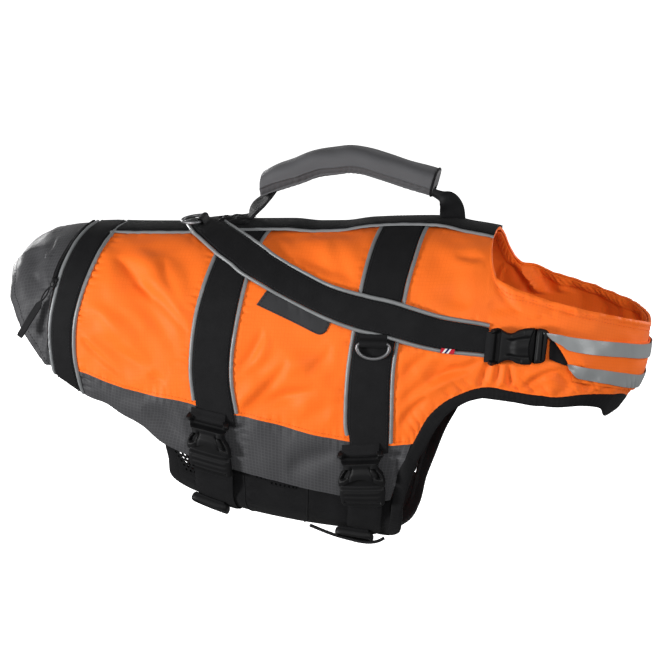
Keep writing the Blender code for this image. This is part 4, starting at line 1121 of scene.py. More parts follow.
@dataclass(frozen=True)
class Palette:
    """Every finish, made once."""

    orange: Material
    ripstop: Material
    webbing: Material
    binding: Material
    trim: Material
    tape: Material
    patch: Material
    plastic: Material
    chrome: Material
    spacer: Material
    wrap: Material
    elastic: Material
    flag: Material
    orange_thread: Material
    black_thread: Material

    @classmethod
    def mix(cls) -> "Palette":
        """Makes every finish."""
        return cls(
            orange=WovenCloth("orange_nylon", (1.0, 0.195, 0.02), (0.95, 0.152, 0.014), (0.8, 0.11, 0.008),
                0.0033, 0.0033, 0.0007, 0.5, 0.03, 0.14, 0.1, 0.16).build(),
            ripstop=WovenCloth("grey_ripstop_cloth", (0.058, 0.058, 0.061), (0.044, 0.044, 0.047),
                (0.105, 0.105, 0.11), 0.0036, 0.0033, 0.0007, 0.5, 0.02, 0.2, 0.12, 0.3).build(),
            webbing=WovenTape("black_strap_webbing").build(),
            binding=WovenTape("black_binding_tape", rib=0.0011).build(),
            trim=ReflectiveTrim("reflective_piping_cloth").build(),
            tape=ReflectiveTrim("reflective_glossy_tape", (0.3, 0.315, 0.32), (0.25, 0.26, 0.265), 0.34,
                0.1).build(),
            patch=WovenCloth("charcoal_patch_cloth", (0.036, 0.036, 0.038), (0.028, 0.028, 0.03),
                (0.05, 0.05, 0.05), 0.0, 0.0, 0.0006, 0.6, 0.02).build(),
            plastic=MouldedPlastic("glossy_black_plastic").build(),
            chrome=DarkChrome("dark_chrome_metal").build(),
            spacer=WovenTape("black_spacer_cloth", rib=0.0012).build(),
            wrap=WovenCloth("grey_wrap_nylon", (0.105, 0.105, 0.11), (0.085, 0.085, 0.09),
                (0.15, 0.15, 0.15), 0.0, 0.0, 0.0006, 0.5, 0.05).build(),
            elastic=Braid("black_braided_elastic").build(),
            flag=StripedTab("striped_tab_cloth", 0.0147).build(),
            orange_thread=Braid("orange_thread", (0.8, 0.12, 0.012), (0.9, 0.2, 0.04), 0.0006).build(),
            black_thread=Braid("black_thread", (0.01, 0.01, 0.011), (0.04, 0.04, 0.042), 0.0006).build())


def curve_through(spots: Sequence[Sequence[float]], count: int) -> Array:
    """Evenly spaced points on a smooth curve through spots."""
    spots = np.asarray(spots, float)
    chord = travel(spots)
    fine = np.linspace(0, chord[-1], 600)
    dense = np.stack([smooth(fine, chord, spots[:, k]) for k in range(spots.shape[1])], axis=1)
    travelled = travel(dense[:, :3])
    at = np.linspace(0, travelled[-1], count)
    return np.stack([np.interp(at, travelled, dense[:, k]) for k in range(spots.shape[1])], axis=1)


def rolled(t: Array, thin: float) -> Array:
    """Share of full thickness across webbing, t from -1 to 1, falling to thin at its edges."""
    return thin + (1 - thin) * (1 - np.abs(t) ** 8) ** 0.5


def unit(vectors: Array) -> Array:
    """Vectors made one long."""
    return vectors / np.maximum(norm(vectors, axis=-1, keepdims=True), 1e-12)


def tube_rings(path: Array, radius: Array | float, sides: int, closed: bool = False) -> Array:
    """Rings of points round a path, turned as little as possible from one to the next.

    Args:
        path: Points of the centreline.
        radius: One radius, one a ring, or one a point of every ring.
        sides: Points in a ring.
        closed: Whether the path joins its own start.

    Returns:
        Points as rings, sides and coordinates.
    """
    path = np.asarray(path, float)
    if closed:
        tangent = unit(np.roll(path, -1, axis=0) - np.roll(path, 1, axis=0))
    else:
        tangent = unit(np.gradient(path, axis=0))
    flat = np.linalg.svd(path - path.mean(axis=0))[2][2]
    aside = np.cross(tangent[0], flat)
    frames = []
    for along in tangent:
        aside = unit(aside - along * (aside @ along))
        frames.append((aside, np.cross(along, aside)))
    turn = np.linspace(0, math.tau, sides, endpoint=False)
    radius = np.asarray(radius, float)
    if radius.ndim < 2:
        radius = np.broadcast_to(radius[..., None] if radius.ndim else radius, (len(path), sides))
    first = np.array([frame[0] for frame in frames])[:, None]
    second = np.array([frame[1] for frame in frames])[:, None]
    ring = np.cos(turn)[None, :, None] * first + np.sin(turn)[None, :, None] * second
    return path[:, None] + ring * radius[..., None]


@dataclass(frozen=True)
class Seat:
    """A place on the body with a direction: heading is degrees from down towards forward."""

    station: float
    angle: float
    heading: float
    lift: float
    tilt: float = 0.0

    def axes(self) -> tuple[Array, Array, Array, Array]:
        """The point, and the forward, side and outward directions, tipped by the tilt."""
        spot = BODY.lifted(np.float64(self.station), np.float64(self.angle), self.lift)
        down = unit(BODY.point(self.station, self.angle + 0.5) - BODY.point(self.station, self.angle - 0.5))
        ahead = unit(BODY.point(self.station + 1, self.angle) - BODY.point(self.station - 1, self.angle))
        out = unit(np.cross(down, ahead))
        turn, lean = math.radians(self.heading), math.radians(self.tilt)
        lead = math.cos(turn) * down + math.sin(turn) * ahead
        side = np.cross(out, lead)
        tipped = math.cos(lean) * lead - math.sin(lean) * out
        return spot, tipped, side, math.cos(lean) * out + math.sin(lean) * lead

    def place(self, local: Array) -> Array:
        """Takes flat (u, v, n) points into the jacket's frame, unbent."""
        spot, lead, side, out = self.axes()
        return spot + local[..., :1] * lead + local[..., 1:2] * side + local[..., 2:] * out

    def bend(self, local: Array) -> Array:
        """Takes flat (u, v, n) points onto the curved body: u along the heading, v across, n outward."""
        local = np.asarray(local, float)
        turn = math.radians(self.heading)
        down = local[..., 0] * math.cos(turn) - local[..., 1] * math.sin(turn)
        ahead = local[..., 0] * math.sin(turn) + local[..., 1] * math.cos(turn)
        at, angle = self.station, self.angle
        per_degree = norm(BODY.point(at, angle + 0.5) - BODY.point(at, angle - 0.5))
        per_station = norm(BODY.point(at + 0.5, angle) - BODY.point(at - 0.5, angle))
        return BODY.lifted(at + ahead / per_station, angle + down / per_degree, local[..., 2])


class Lamp(NamedTuple):
    """One square soft light, in metres and watts."""

    name: str
    spot: tuple[float, float, float]
    size: float
    power: float


@dataclass(frozen=True)
class Studio:
    """The camera, pale floor and soft light."""

    azimuth: float = 9.0
    elevation: float = 9.0
    distance: float = 5.0
    aside: float = -0.0175
    above: float = -0.1033
    sensor: float = 36.0
    frame_width: float = 0.665
    floor_size: float = 60.0
    floor_height: float = -0.62
    sky_glow: float = 0.24
    aim: tuple[float, float, float] = (0, 0, -0.13)
    lamps: tuple[Lamp, ...] = table(Lamp, ("key_light", (-2.9, -2.1, -0.3), 0.7, 138.0),
        ("front_light", (1.4, -3.8, 1.4), 0.9, 50.0), ("side_light", (3.2, -1.6, 0.3), 1.0, 34.0),
        ("far_rear_light", (-2.3, 2.8, 0.5), 1.0, 70.0), ("far_front_light", (2.6, 2.7, 0.8), 1.0, 60.0))

    def place_camera(self) -> None:
        """Makes the camera."""
        turn, lift = math.radians(self.azimuth), math.radians(self.elevation)
        right = Vector((math.cos(turn), math.sin(turn), 0))
        back = Vector((math.sin(turn) * math.cos(lift), -math.cos(turn) * math.cos(lift), math.sin(lift)))
        up = back.cross(right)
        target = right * self.aside + up * self.above
        lens = bpy.data.cameras.new("studio_camera")
        lens.sensor_width = self.sensor
        lens.lens = self.sensor * self.distance / self.frame_width
        lens.clip_end = 200
        camera = show("studio_camera", lens)
        camera.location = target + back * self.distance
        camera.rotation_euler = back.to_track_quat("Z", "Y").to_euler()
        bpy.context.scene.camera = camera

    def light(self, name: str, spot: Sequence[float], size: float, power: float) -> Thing:
        """A square soft light aimed at the object's middle."""
        lamp = bpy.data.lights.new(name, "AREA")
        lamp.shape = "SQUARE"
        lamp.size = size
        lamp.energy = power
        made = show(name, lamp)
        made.location = spot
        made.rotation_euler = (Vector(spot) - Vector(self.aim)).to_track_quat("Z", "Y").to_euler()
        return made

    def build(self) -> None:
        """Lays the floor and hangs the lights."""
        half = self.floor_size / 2
        corners = [(-half, -half), (half, -half), (half, half), (-half, half)]
        mesh = bpy.data.meshes.new("studio_floor")
        mesh.from_pydata([(x, y, self.floor_height) for x, y in corners], [], [(0, 1, 2, 3)])
        mesh.materials.append(PaleFloor("pale_floor").build())
        floor = show("studio_floor", mesh)
        floor.visible_diffuse = False
        floor.visible_glossy = False
        lights = [self.light(*lamp) for lamp in self.lamps]
        world = bpy.data.worlds.new("studio_world")
        world.use_nodes = True
        tree = world.node_tree
        sky = tree.nodes["Background"]
        paths = tree.nodes.new("ShaderNodeLightPath")
        level = tree.nodes.new("ShaderNodeMapRange")
        level.inputs["To Min"].default_value = self.sky_glow
        tree.links.new(paths.outputs["Is Camera Ray"], level.inputs["Value"])
        tree.links.new(level.outputs["Result"], sky.inputs["Strength"])
        sky.inputs["Color"].default_value = (1, 1, 1, 1)
        sky.inputs["Strength"].default_value = self.sky_glow
        scene = bpy.context.scene
        scene.world = world
        scene.view_settings.view_transform = "Standard"


@dataclass(frozen=True)
class ElasticCord:
    """The elastic cord loop that hangs under the belly between the two adjusters."""

    route: tuple[tuple[float, float, float], ...] = ((-36, -30, -296.6), (-30, -31, -298.6),
        (-21, -32, -301.8), (-8, -33, -305.8), (5, -33.5, -308.8), (17, -34.5, -311.0), (26, -34.5, -311.4),
        (34, -33.5, -310.0), (40, -32, -307.0))
    diameter: float = 3.5
    braid: float = 0.05
    strand: float = 4.2

    def build(self, palette: Palette) -> None:
        path = curve_through(self.route, 150)
        run = travel(path)
        turn = np.linspace(0, math.tau, 18, endpoint=False)
        wind = math.tau * run[:, None] / self.strand
        weave = np.abs(np.sin(2 * turn[None] + wind / 2)) * np.abs(np.sin(2 * turn[None] - wind / 2))
        radius = self.diameter / 2 * (1 - self.braid + self.braid * 1.4 * weave)
        draft = MeshDraft("braided_cord")
        draft.add_tube(tube_rings(path, radius, len(turn)))
        made = settle(draft.build(palette.elastic, 60), Slot.ELASTIC, "elastic_cord")


SIDE_ROWS = table(CrossRow, (-243, 0, -275.3, 120.2, -5.7), (-205, 0, -215, 121.5, -8),
    (-120, 0, -141, 119.4, -8), (-40, 0, -58, 120.0, -4), (30, 0, 10, 124.0), (92, 0, 62, 127.4),
    (128, 0, 79, 126.6), (148, 0, 89, 119.0), (149, 18, 104, 111.6), (151, 33, 121, 108.8),
    (155, 43, 138, 107.6), (162, 49, 154, 108.6), (190, 57, 179, 113.4), (219, 62.8, 208, 118.4),
    (263, 69.7, 253, 118.0), (310, 76.5, 305, 120.0), (355, 82, 355, 124.2))
FLANK_ROWS = table(CrossRow, (-275.5, 120.4, -272, 131.0), (-258, 120.2, -256, 133.8),
    (-226, 121.8, -230, 135.2), (-195, 121.4, -198, 138.2), (-163, 119.4, -177, 143.0),
    (-141, 119.6, -150, 144.3), (-95, 119.6, -93, 144.8), (-58, 120.2, -61, 145.7), (-4, 123.0, -8, 147.7),
    (55, 127.4, 44, 149.8), (76.2, 127.6, 52.5, 149.6))
RUMP_ROWS = table(CrossRow, (-267.1, 0, -345, 0), (-270.2, 17, -341, 17), (-277.2, 37, -337, 37),
    (-283.7, 50, -335.5, 50), (-287.6, 60, -335.5, 60), (-286.4, 67, -335, 67), (-289.6, 81, -329, 81),
    (-292.6, 97, -322, 97), (-292, 112, -309, 112), (-290, 122, -297, 122))


@dataclass(frozen=True)
class SidePanels:
    """The two orange sides: foam walls over the chest, plain gathered cloth round the collar."""

    collar_wall: float = 2.4
    foam_wall: float = 6.0
    half_seam_angle: float = 0.08
    gather_pitch: float = 26.0
    gather_height: float = 1.8
    gather_reach: float = 16.0
    hem_roll: float = 0.9
    cells: tuple[int, int] = (336, 132)

    def wall(self, station: Array) -> Array:
        """Thickness of the panel."""
        return self.collar_wall + (self.foam_wall - self.collar_wall) * fade(station, 98, 40)

    def edges(self, a_s: Array, a_a: Array, b_s: Array, b_a: Array) -> Edges:
        """Keeps the panel's edges beside the spine, the flank seam and the bindings."""
        seam = seam_angle(FLANK_SEAM, b_s)
        lower = np.where(b_s < SEAM_MEETS_LEG, seam, edge_angle(b_s) + 0.9)
        return np.where(a_a < 1, self.half_seam_angle, a_a), lower

    def gathers(self, spots: Spots) -> Array:
        """The larger waves where the cloth is drawn in at the leg, collar and neck."""
        station, angle = spots.station, spots.angle
        low = np.minimum((angle - angle[:, -1:]) * -GIRTH_MM, 60)
        drawn = fade(np.abs(station - 215) - 62, 10, 20) * np.exp(-((low / self.gather_reach) ** 2))
        drawn = drawn * step_up(low, 1, 9)
        wave = self.gather_height * drawn * np.sin(math.tau * station / self.gather_pitch)
        neck = np.minimum((angle - angle[:, :1]) * GIRTH_MM, 60)
        pulled = fade(250 - station, 40, 40) * (1 - step_up(station, 285, 325))
        pulled = pulled * np.exp(-((neck / 10) ** 2))
        hem = step_up(station, 140, 156) * hill(neck, 3.2, 2.4)
        drawn = np.sin(math.tau * station / 17 + 1.9 * np.sin(station / 27)) * (0.4 + uneven(station, 6.0))
        return wave + 0.6 * pulled * drawn + self.hem_roll * hem

    def build(self, palette: Palette) -> None:
        """Sews both sides."""
        right = spread(SIDE_ROWS, *self.cells, snap=self.edges)
        thickness = self.wall(right.station)
        wave = self.gathers(right)
        for side in Side:
            spots = right if side is Side.RIGHT else right.mirrored()
            lifts = wave, wave * 0.6 - thickness
            look = palette.orange, Slot.ORANGE
            sew(f"orange_side_{side.label}", spots, lifts, look, f"side_{side.label}", "stretched", every=2)


@dataclass(frozen=True)
class Flanks:
    """The grey ripstop strips under the sides."""

    wall: float = 4.0
    cells: tuple[int, int] = (220, 36)

    def edges(self, a_s: Array, a_a: Array, b_s: Array, b_a: Array) -> Edges:
        """Keeps the upper edge on the flank seam."""
        return seam_angle(FLANK_SEAM, a_s), b_a

    def build(self, palette: Palette) -> None:
        """Sews both flanks."""
        right = spread(FLANK_ROWS, *self.cells, snap=self.edges)
        for side in Side:
            spots = right if side is Side.RIGHT else right.mirrored()
            look = palette.ripstop, Slot.RIPSTOP
            lifts, node = (0.0, -self.wall), f"flank_{side.label}"
            sew(f"ripstop_flank_{side.label}", spots, lifts, look, node, "stretched", every=2)


@dataclass(frozen=True)
class RumpPanel:
    """The dark ripstop panel over the rump, behind the zip."""

    wall: float = 3.0
    cells: tuple[int, int] = (250, 48)
    hem_roll: float = 0.8

    def build(self, palette: Palette) -> None:
        """Sews the panel, with a rolled hem along its free edge."""
        spots = spread(saddle(RUMP_ROWS), *self.cells)
        to_edge = (spots.across[:, -1:] - spots.across) / MM
        roll = self.hem_roll * hill(to_edge, 3.0, 2.2)
        look = palette.ripstop, Slot.RIPSTOP
        sew("ripstop_rump", spots, (roll, -self.wall), look, "rump_panel", "stretched", every=2)


@dataclass(frozen=True)
class Strap:
    """A webbing strap with a reflective piping along each edge."""

    name: str
    rows: tuple[CrossRow, ...]
    lift: Lift
    along: int
    across: int
    webbing: float = 1.8
    piping_width: float = 4.0
    piping_height: float = 2.0
    seam_gap: float = 0.3
    sides: int = 9
    trim_ends: tuple[float, float] = (180.0, 180.0)
    web_end: float = 180.0

    def surface(self, spots: Spots) -> Array:
        """Height of the webbing's top: rolled edges and a slight crown."""
        t = np.linspace(-1, 1, spots.station.shape[1])
        return self.webbing * rolled(t, 0.45)[None]

    def cut(self, limit: float) -> Sequence[CrossRow]:
        """The strap's rows, cut off where they pass an angle."""
        inner = [row for row in self.rows if abs(row.a_angle) <= limit]
        if len(inner) == len(self.rows):
            return self.rows
        angles = column(self.rows, "a_angle")
        ends = []
        for turn in (-limit, limit):
            a, b = (float(smooth(turn, angles, column(self.rows, name)))
                for name in ("a_station", "b_station"))
            ends.append(CrossRow(a, turn, b, turn))
        return [ends[0], *inner, ends[1]]

    def piping(self, side: int) -> tuple[Array, Array]:
        """The half-round rings of one edge's piping and their cloth coordinates."""
        middle = spread(self.cut(self.trim_ends[side]), self.along, self.sides - 1,
            (side, -self.piping_width / 2), (side, self.piping_width / 2))
        t = np.linspace(-1, 1, self.sides)
        swell = 1 + 0.06 * np.sin(middle.along / MM / 2.6 + side) + 0.05 * np.sin(middle.along / MM / 5.7)
        crown = self.piping_height * np.sqrt(np.clip(1 - t**2, 0, 1))[None, :] * swell
        base = self.lift(middle.station, middle.angle)
        top = DRAPE.skin(middle, base + crown)
        return top, middle.coords

    def build(self, palette: Palette) -> None:
        """Sews the webbing and both pipings."""
        clear = self.piping_width / 2 + self.seam_gap
        spots = spread(self.cut(self.web_end), self.along, self.across, (0, clear), (1, -clear))
        base = self.lift(spots.station, spots.angle)
        lifts = base + self.surface(spots), base
        look = palette.webbing, Slot.WEBBING
        sew(f"{self.name}_webbing", spots, lifts, look, self.name, "laid", 50)
        for side, label in ((0, "rear"), (1, "front")):
            top, coords = self.piping(side)
            draft = MeshDraft(f"{self.name}_trim_{label}")
            draft.add_tube(top, coords)
            settle(draft.build(palette.trim, 60), Slot.TRIM, f"{self.name}_piping_{label}")

    def edge_lines(self, inset: float) -> list[Array]:
        """Lines on the webbing's top beside both pipings, for the seams."""
        clear = self.piping_width / 2 + self.seam_gap + inset
        spots = spread(self.cut(self.web_end), self.along, 1, (0, clear), (1, -clear))
        lift = self.lift(spots.station, spots.angle) + self.webbing
        points = DRAPE.skin(spots, lift)
        return [points[:, 0], points[:, 1]]


STRAPS = (Strap("rear_band", saddle(BAND_ROWS), LAYERS.on_panel, 230, 12),
    Strap("girth_strap_rear", saddle(REAR_GIRTH_ROWS), LAYERS.on_panel, 250, 16, trim_ends=(116.5, 117.2),
    web_end=124.6), Strap("girth_strap_front", saddle(FRONT_GIRTH_ROWS), LAYERS.on_panel, 260, 16,
    trim_ends=(121.2, 126.0), web_end=130.0), Strap("back_strip", STRIP_ROWS, LAYERS.over_girths, 170, 20),
    Strap("shoulder_strap", saddle(SHOULDER_ROWS), LAYERS.over_all, 330, 14))


LEG_ROWS = table(CrossRow, (151, 108.6, 151, 114.4), (128, 108.2, 131, 114.1), (106, 111.2, 114, 117),
    (92.2, 116.6, 102, 122.5), (81.1, 124.6, 91.5, 129.5), (70.7, 132.6, 81, 136.5), (61, 140, 72, 145),
    (54.5, 149.7, 65, 152.2), (50, 158, 62, 159.5), (44, 166, 56, 168), (31, 173, 42, 175.5),
    (26, 180, 37, 180))
COLLAR_BINDING_ROWS = table(CrossRow, (146, 108.2, 146, 114.2), (177, 113.8, 177, 119.6),
    (208, 118.8, 208, 124.4), (253, 118.4, 253, 124.6), (290, 119.4, 286, 127), (318, 121, 312, 132.4),
    (340, 123.4, 338, 131), (355, 124.6, 355, 131))
COLLAR_BAND_ROWS = table(CrossRow, (213.5, 83.6, 236, 110.0, 3), (222, 84.0, 243, 111.0, 3),
    (250, 86.0, 266, 113.4, 1), (286, 88.8, 296, 116.6), (326, 92.0, 330, 119.4), (355, 93.6, 355, 120.4))
UPPER_TAPE_ROWS = table(CrossRow, (206.5, 80.6, 207, 81.8), (214, 81.2, 214.5, 85.2),
    (222, 81.9, 223.5, 88.2), (230.5, 83.2, 231.5, 91.4), (256, 85.8, 257.5, 94.8), (288, 88.8, 290, 97.8),
    (322, 92.2, 323, 101.0), (355, 94.0, 355, 102.4))
LOWER_TAPE_ROWS = table(CrossRow, (229, 99.6, 230.5, 102.4), (233, 99.9, 238, 107.2),
    (241, 101.0, 246, 108.8), (260, 103.4, 264, 111.0), (291, 107.0, 294, 114.8),
    (324, 110.4, 325.5, 117.6), (355, 111.6, 355, 118.8))
CASING_ROWS = table(CrossRow, (147.5, 20, 139.5, 20.5), (149.8, 33.5, 142, 36.4), (154, 43.6, 147.8, 48.2),
    (161.4, 49.9, 158.6, 54.9), (190, 57.4, 189, 62.6), (219, 63.2, 219, 68.6), (263, 70.1, 263, 75.8),
    (310, 76.9, 310, 82.8), (355, 82.4, 355, 88.4))


def on_edge(a_s: Array, a_a: Array, b_s: Array, b_a: Array) -> Edges:
    """Keeps a binding's upper edge on the edge of the side panels."""
    beside = (a_s > 55) & (np.abs(180 - a_a) > 31)
    edge = edge_angle(a_s)
    return np.where(beside, np.where(a_a < 180, edge, 360 - edge), a_a), b_a


@dataclass(frozen=True)
class Binding:
    """A gathered binding tape folded over a raw edge."""

    name: str
    node: str
    rows: tuple[CrossRow, ...]
    along: int
    top: float
    bottom: float
    ripple: float = 0.22
    pitch: float = 5.2
    sides: int = 18

    def build(self, palette: Palette) -> None:
        """Sews the binding as a soft roll."""
        edges = spread(self.rows, self.along, 1, snap=on_edge)
        turn = np.linspace(0, math.tau, self.sides, endpoint=False)
        share = 0.5 - 0.5 * np.sign(np.cos(turn)) * np.abs(np.cos(turn)) ** 0.55
        rise = np.sign(np.sin(turn)) * np.abs(np.sin(turn)) ** 0.55
        along = edges.along[:, :1] / MM
        ripple = self.ripple * np.sin(math.tau * along / self.pitch + 1.9 * np.sin(along / 17))
        middle, half = (self.top + self.bottom) / 2, (self.top - self.bottom) / 2
        lift = middle + rise[None] * (half + ripple)
        station = edges.station[:, :1] + (edges.station[:, 1:] - edges.station[:, :1]) * share[None]
        angle = edges.angle[:, :1] + (edges.angle[:, 1:] - edges.angle[:, :1]) * share[None]
        base = DRAPE.relief(station, angle)
        draft = MeshDraft(self.name)
        draft.add_tube(BODY.lifted(station, angle, base + lift))
        settle(draft.build(palette.binding, 60), Slot.WEBBING, self.node)


@dataclass(frozen=True)
class CollarFront:
    """The orange band round the collar's front, its reflective tapes, the neck casing and webbing."""

    rest_lift: float = 0.7
    end_lift: float = 2.3
    band_wall: float = 1.4
    tape_wall: float = 0.8
    twist_length: float = 24.0
    twist_height: float = 3.0
    casing_wall: float = 1.2

    def stand_off(self, spots: Spots) -> Array:
        """Lift of the band's underside: close to the collar, raised over the neck webbing at its ends."""
        end = BODY.folded(spots.station) - 0.9 * (np.abs(spots.angle) - 84) - 213
        return self.rest_lift + self.end_lift * fade(end, 14, 26)

    def sew_band(self, palette: Palette) -> None:
        """The orange band, with a slanting fold behind each end."""
        spots = spread(wrap_front(COLLAR_BAND_ROWS), 220, 30)
        end = spots.from_ends
        share = np.linspace(0, 1, spots.station.shape[1])[None]
        fold = -1.1 * hill(end - 34 * (share - 0.55), 10, 3.4) * step_up(share, 0.5, 0.7)
        bulge = 1.0 * fade(end, 2, 12) * hill(share, 0.5, 0.4)
        puff = 0.5 * hill(share, 0.52, 0.14) * np.sin(end / 13) * step_up(end, 6, 20)
        height = self.stand_off(spots) + fold + bulge + puff
        lifts = height + self.band_wall, height
        look = palette.orange, Slot.ORANGE
        sew("collar_front_band", spots, lifts, look, "collar_band", "laid")

    def sew_tape(self, label: str, rows: Sequence[CrossRow], lean: float, palette: Palette) -> None:
        """One reflective tape whose ends narrow and twist away from the band."""
        spots = spread(wrap_front(rows), 240, 10)
        end = spots.from_ends
        t = np.linspace(-1, 1, spots.station.shape[1])[None]
        loose = fade(end, 0, self.twist_length)
        twist = self.twist_height * loose * (0.4 + lean * 0.6 * t + 0.5 * (1 - t**2))
        step = 0.5 * hill(end, 92, 2.0)
        height = self.stand_off(spots) + self.band_wall + 1.2 + twist + step + 0.15 * np.sin(end / 9)
        lifts = height + self.tape_wall, height
        look = palette.tape, Slot.TRIM
        node = f"reflective_tape_{label}"
        sew(f"glossy_tape_{label}", spots, lifts, look, node, "laid")

    def sew_casing(self, palette: Palette) -> None:
        """The drawn casing inside the neck's hem."""
        spots = spread(wrap_front(CASING_ROWS), 300, 12)
        t = np.linspace(-1, 1, spots.station.shape[1])[None]
        along = spots.along / MM
        wave = np.sin(math.tau * (along + 5 * t) / 7.4 + 1.6 * np.sin(along / 17))
        drawn = wave * (0.4 + uneven(along, 4.0))
        puff = 0.8 * (1 - t**2) * (1 + 1.1 * drawn)
        base = -SidePanels().wall(BODY.folded(spots.station)) - 0.5
        lifts = base, base - self.casing_wall - puff
        look = palette.orange, Slot.ORANGE
        sew("neck_hem_casing", spots, lifts, look, "neck_casing", "gathered")

    def sew_webbing(self, palette: Palette) -> None:
        """The webbing that joins each neck buckle to the collar band."""
        for side in Side:
            sign = side.value
            rows = table(CrossRow, (212.4, sign * 82.4, 212, sign * 96.8),
                (222, sign * 84.2, 221, sign * 99.2), (233, sign * 86.2, 232, sign * 101.6))
            spots = spread(rows, 16, 14)
            look = palette.webbing, Slot.WEBBING
            sew(f"neck_strap_{side.label}", spots, (2.4, 0.6), look, f"neck_webbing_{side.label}", "laid",
                50)

    def build(self, palette: Palette) -> None:
        """Sews the band, tapes, casing and webbing."""
        self.sew_band(palette)
        self.sew_tape("upper", UPPER_TAPE_ROWS, -1.0, palette)
        self.sew_tape("lower", LOWER_TAPE_ROWS, 0.8, palette)
        self.sew_casing(palette)
        self.sew_webbing(palette)


BELLY_ROWS = table(CrossRow, (-176, 133, 70, 133), (-176.5, 143, 62.5, 143), (-176, 150, 58, 150),
    (-175, 158, 54, 158), (-172, 166, 47, 166), (-160, 173, 30, 173), (-150, 180, 25, 180))


class NodeInputs(NodeTree):
    """Makes a Geometry Nodes tree with named inputs, and gives them their values on a modifier."""

    def __init__(self, name: str) -> None:
        """Starts a tree that takes and returns geometry."""
        self.tree = bpy.data.node_groups.new(name, "GeometryNodeTree")
        self.tree.interface.new_socket("Geometry", in_out="INPUT", socket_type="NodeSocketGeometry")
        self.tree.interface.new_socket("Geometry", in_out="OUTPUT", socket_type="NodeSocketGeometry")
        self.values: dict[str, float | Material] = {}
        self.way_in = self.tree.nodes.new("NodeGroupInput")
        self.way_out = self.tree.nodes.new("NodeGroupOutput")

    def add(self, name: str, kind: str, value: float | Material) -> None:
        """Adds a named input with its value."""
        self.tree.interface.new_socket(name, in_out="INPUT", socket_type=kind)
        self.values[name] = value

    def finish(self, geometry: Socket) -> None:
        """Ends the tree: instances made real, and a finish set."""
        real = self.node("GeometryNodeRealizeInstances", {0: geometry})
        dressed = self.node("GeometryNodeSetMaterial", {"Geometry": real.outputs[0], "Material": "Finish"})
        self.tree.links.new(dressed.outputs[0], self.way_out.inputs[0])

    def grow(self, name: str, guide: bpy.types.Mesh) -> Thing:
        """Runs the tree on a guide mesh and returns the result as a plain object."""
        holder = show(name + "_guide", guide)
        modifier = holder.modifiers.new("grow", "NODES")
        modifier.node_group = self.tree
        for item in self.tree.interface.items_tree:
            if item.in_out == "INPUT" and item.name in self.values:
                modifier[item.identifier] = self.values[item.name]
        graph = bpy.context.evaluated_depsgraph_get()
        mesh = bpy.data.meshes.new_from_object(holder.evaluated_get(graph), depsgraph=graph)
        mesh.name = name
        holder.modifiers.remove(modifier)
        bpy.data.objects.remove(holder)
        return show(name, mesh)


@dataclass(frozen=True)
class TriGlide:
    """A three-bar adjuster on a belly belt, with the webbing rising over its middle bar."""

    label: str
    station: float
    angle: float = 168.5
    half_width: float = 17.4
    half_length: float = 9.4
    squareness: float = 0.32
    outline_lift: float = 6.2
    frame_lift: float = 6.6
    frame_depth: float = 2.3
    frame_radius: float = 1.75
    bar_reach: float = 16.0
    bar_lift: float = 5.6
    bar_radius: float = 1.6
    web_half: float = 15.5
    web_thickness: float = 1.6

    def build(self, palette: Palette) -> None:
        """Moulds the adjuster and lays the webbing over its bar."""
        seat = Seat(self.station, self.angle, 90, 0)
        turn = np.linspace(0, math.tau, 72, endpoint=False)
        across, along = (np.sign(wave) * np.abs(wave) ** self.squareness * half
            for wave, half in ((np.cos(turn), self.half_width), (np.sin(turn), self.half_length)))
        outline = np.stack([across, along, np.full(72, self.outline_lift)], axis=1)
        draft = MeshDraft(f"three_bar_adjuster_{self.label}")
        rings = tube_rings(outline, self.frame_radius, 12, closed=True)
        rings[..., 2] = self.frame_lift + (rings[..., 2] - self.outline_lift) * self.frame_depth
        draft.add_tube(seat.bend(rings), tube_coords(rings), closed=True)
        reach = np.linspace(-self.bar_reach, self.bar_reach, 30)
        bar = np.stack([reach, np.zeros(30), np.full(30, self.bar_lift)], axis=1)
        rings = tube_rings(bar, self.bar_radius, 12)
        draft.add_tube(seat.bend(rings), tube_coords(rings))
        settle(draft.build(palette.plastic, 60), Slot.PLASTIC, f"tri_glide_{self.label}")
        path = ((-13, 3.4), (-9, 5.2), (-5, 7.2), (0, 8.2), (5, 7.2), (9, 5.2), (13, 3.4))
        strip = WebbingStrip(path, self.web_half, self.web_thickness)
        strip.sew(f"adjuster_webbing_{self.label}", Seat(self.station, self.angle, 0, 0).bend, palette)


TRI_GLIDES = (TriGlide("rear", -134), TriGlide("front", 11))


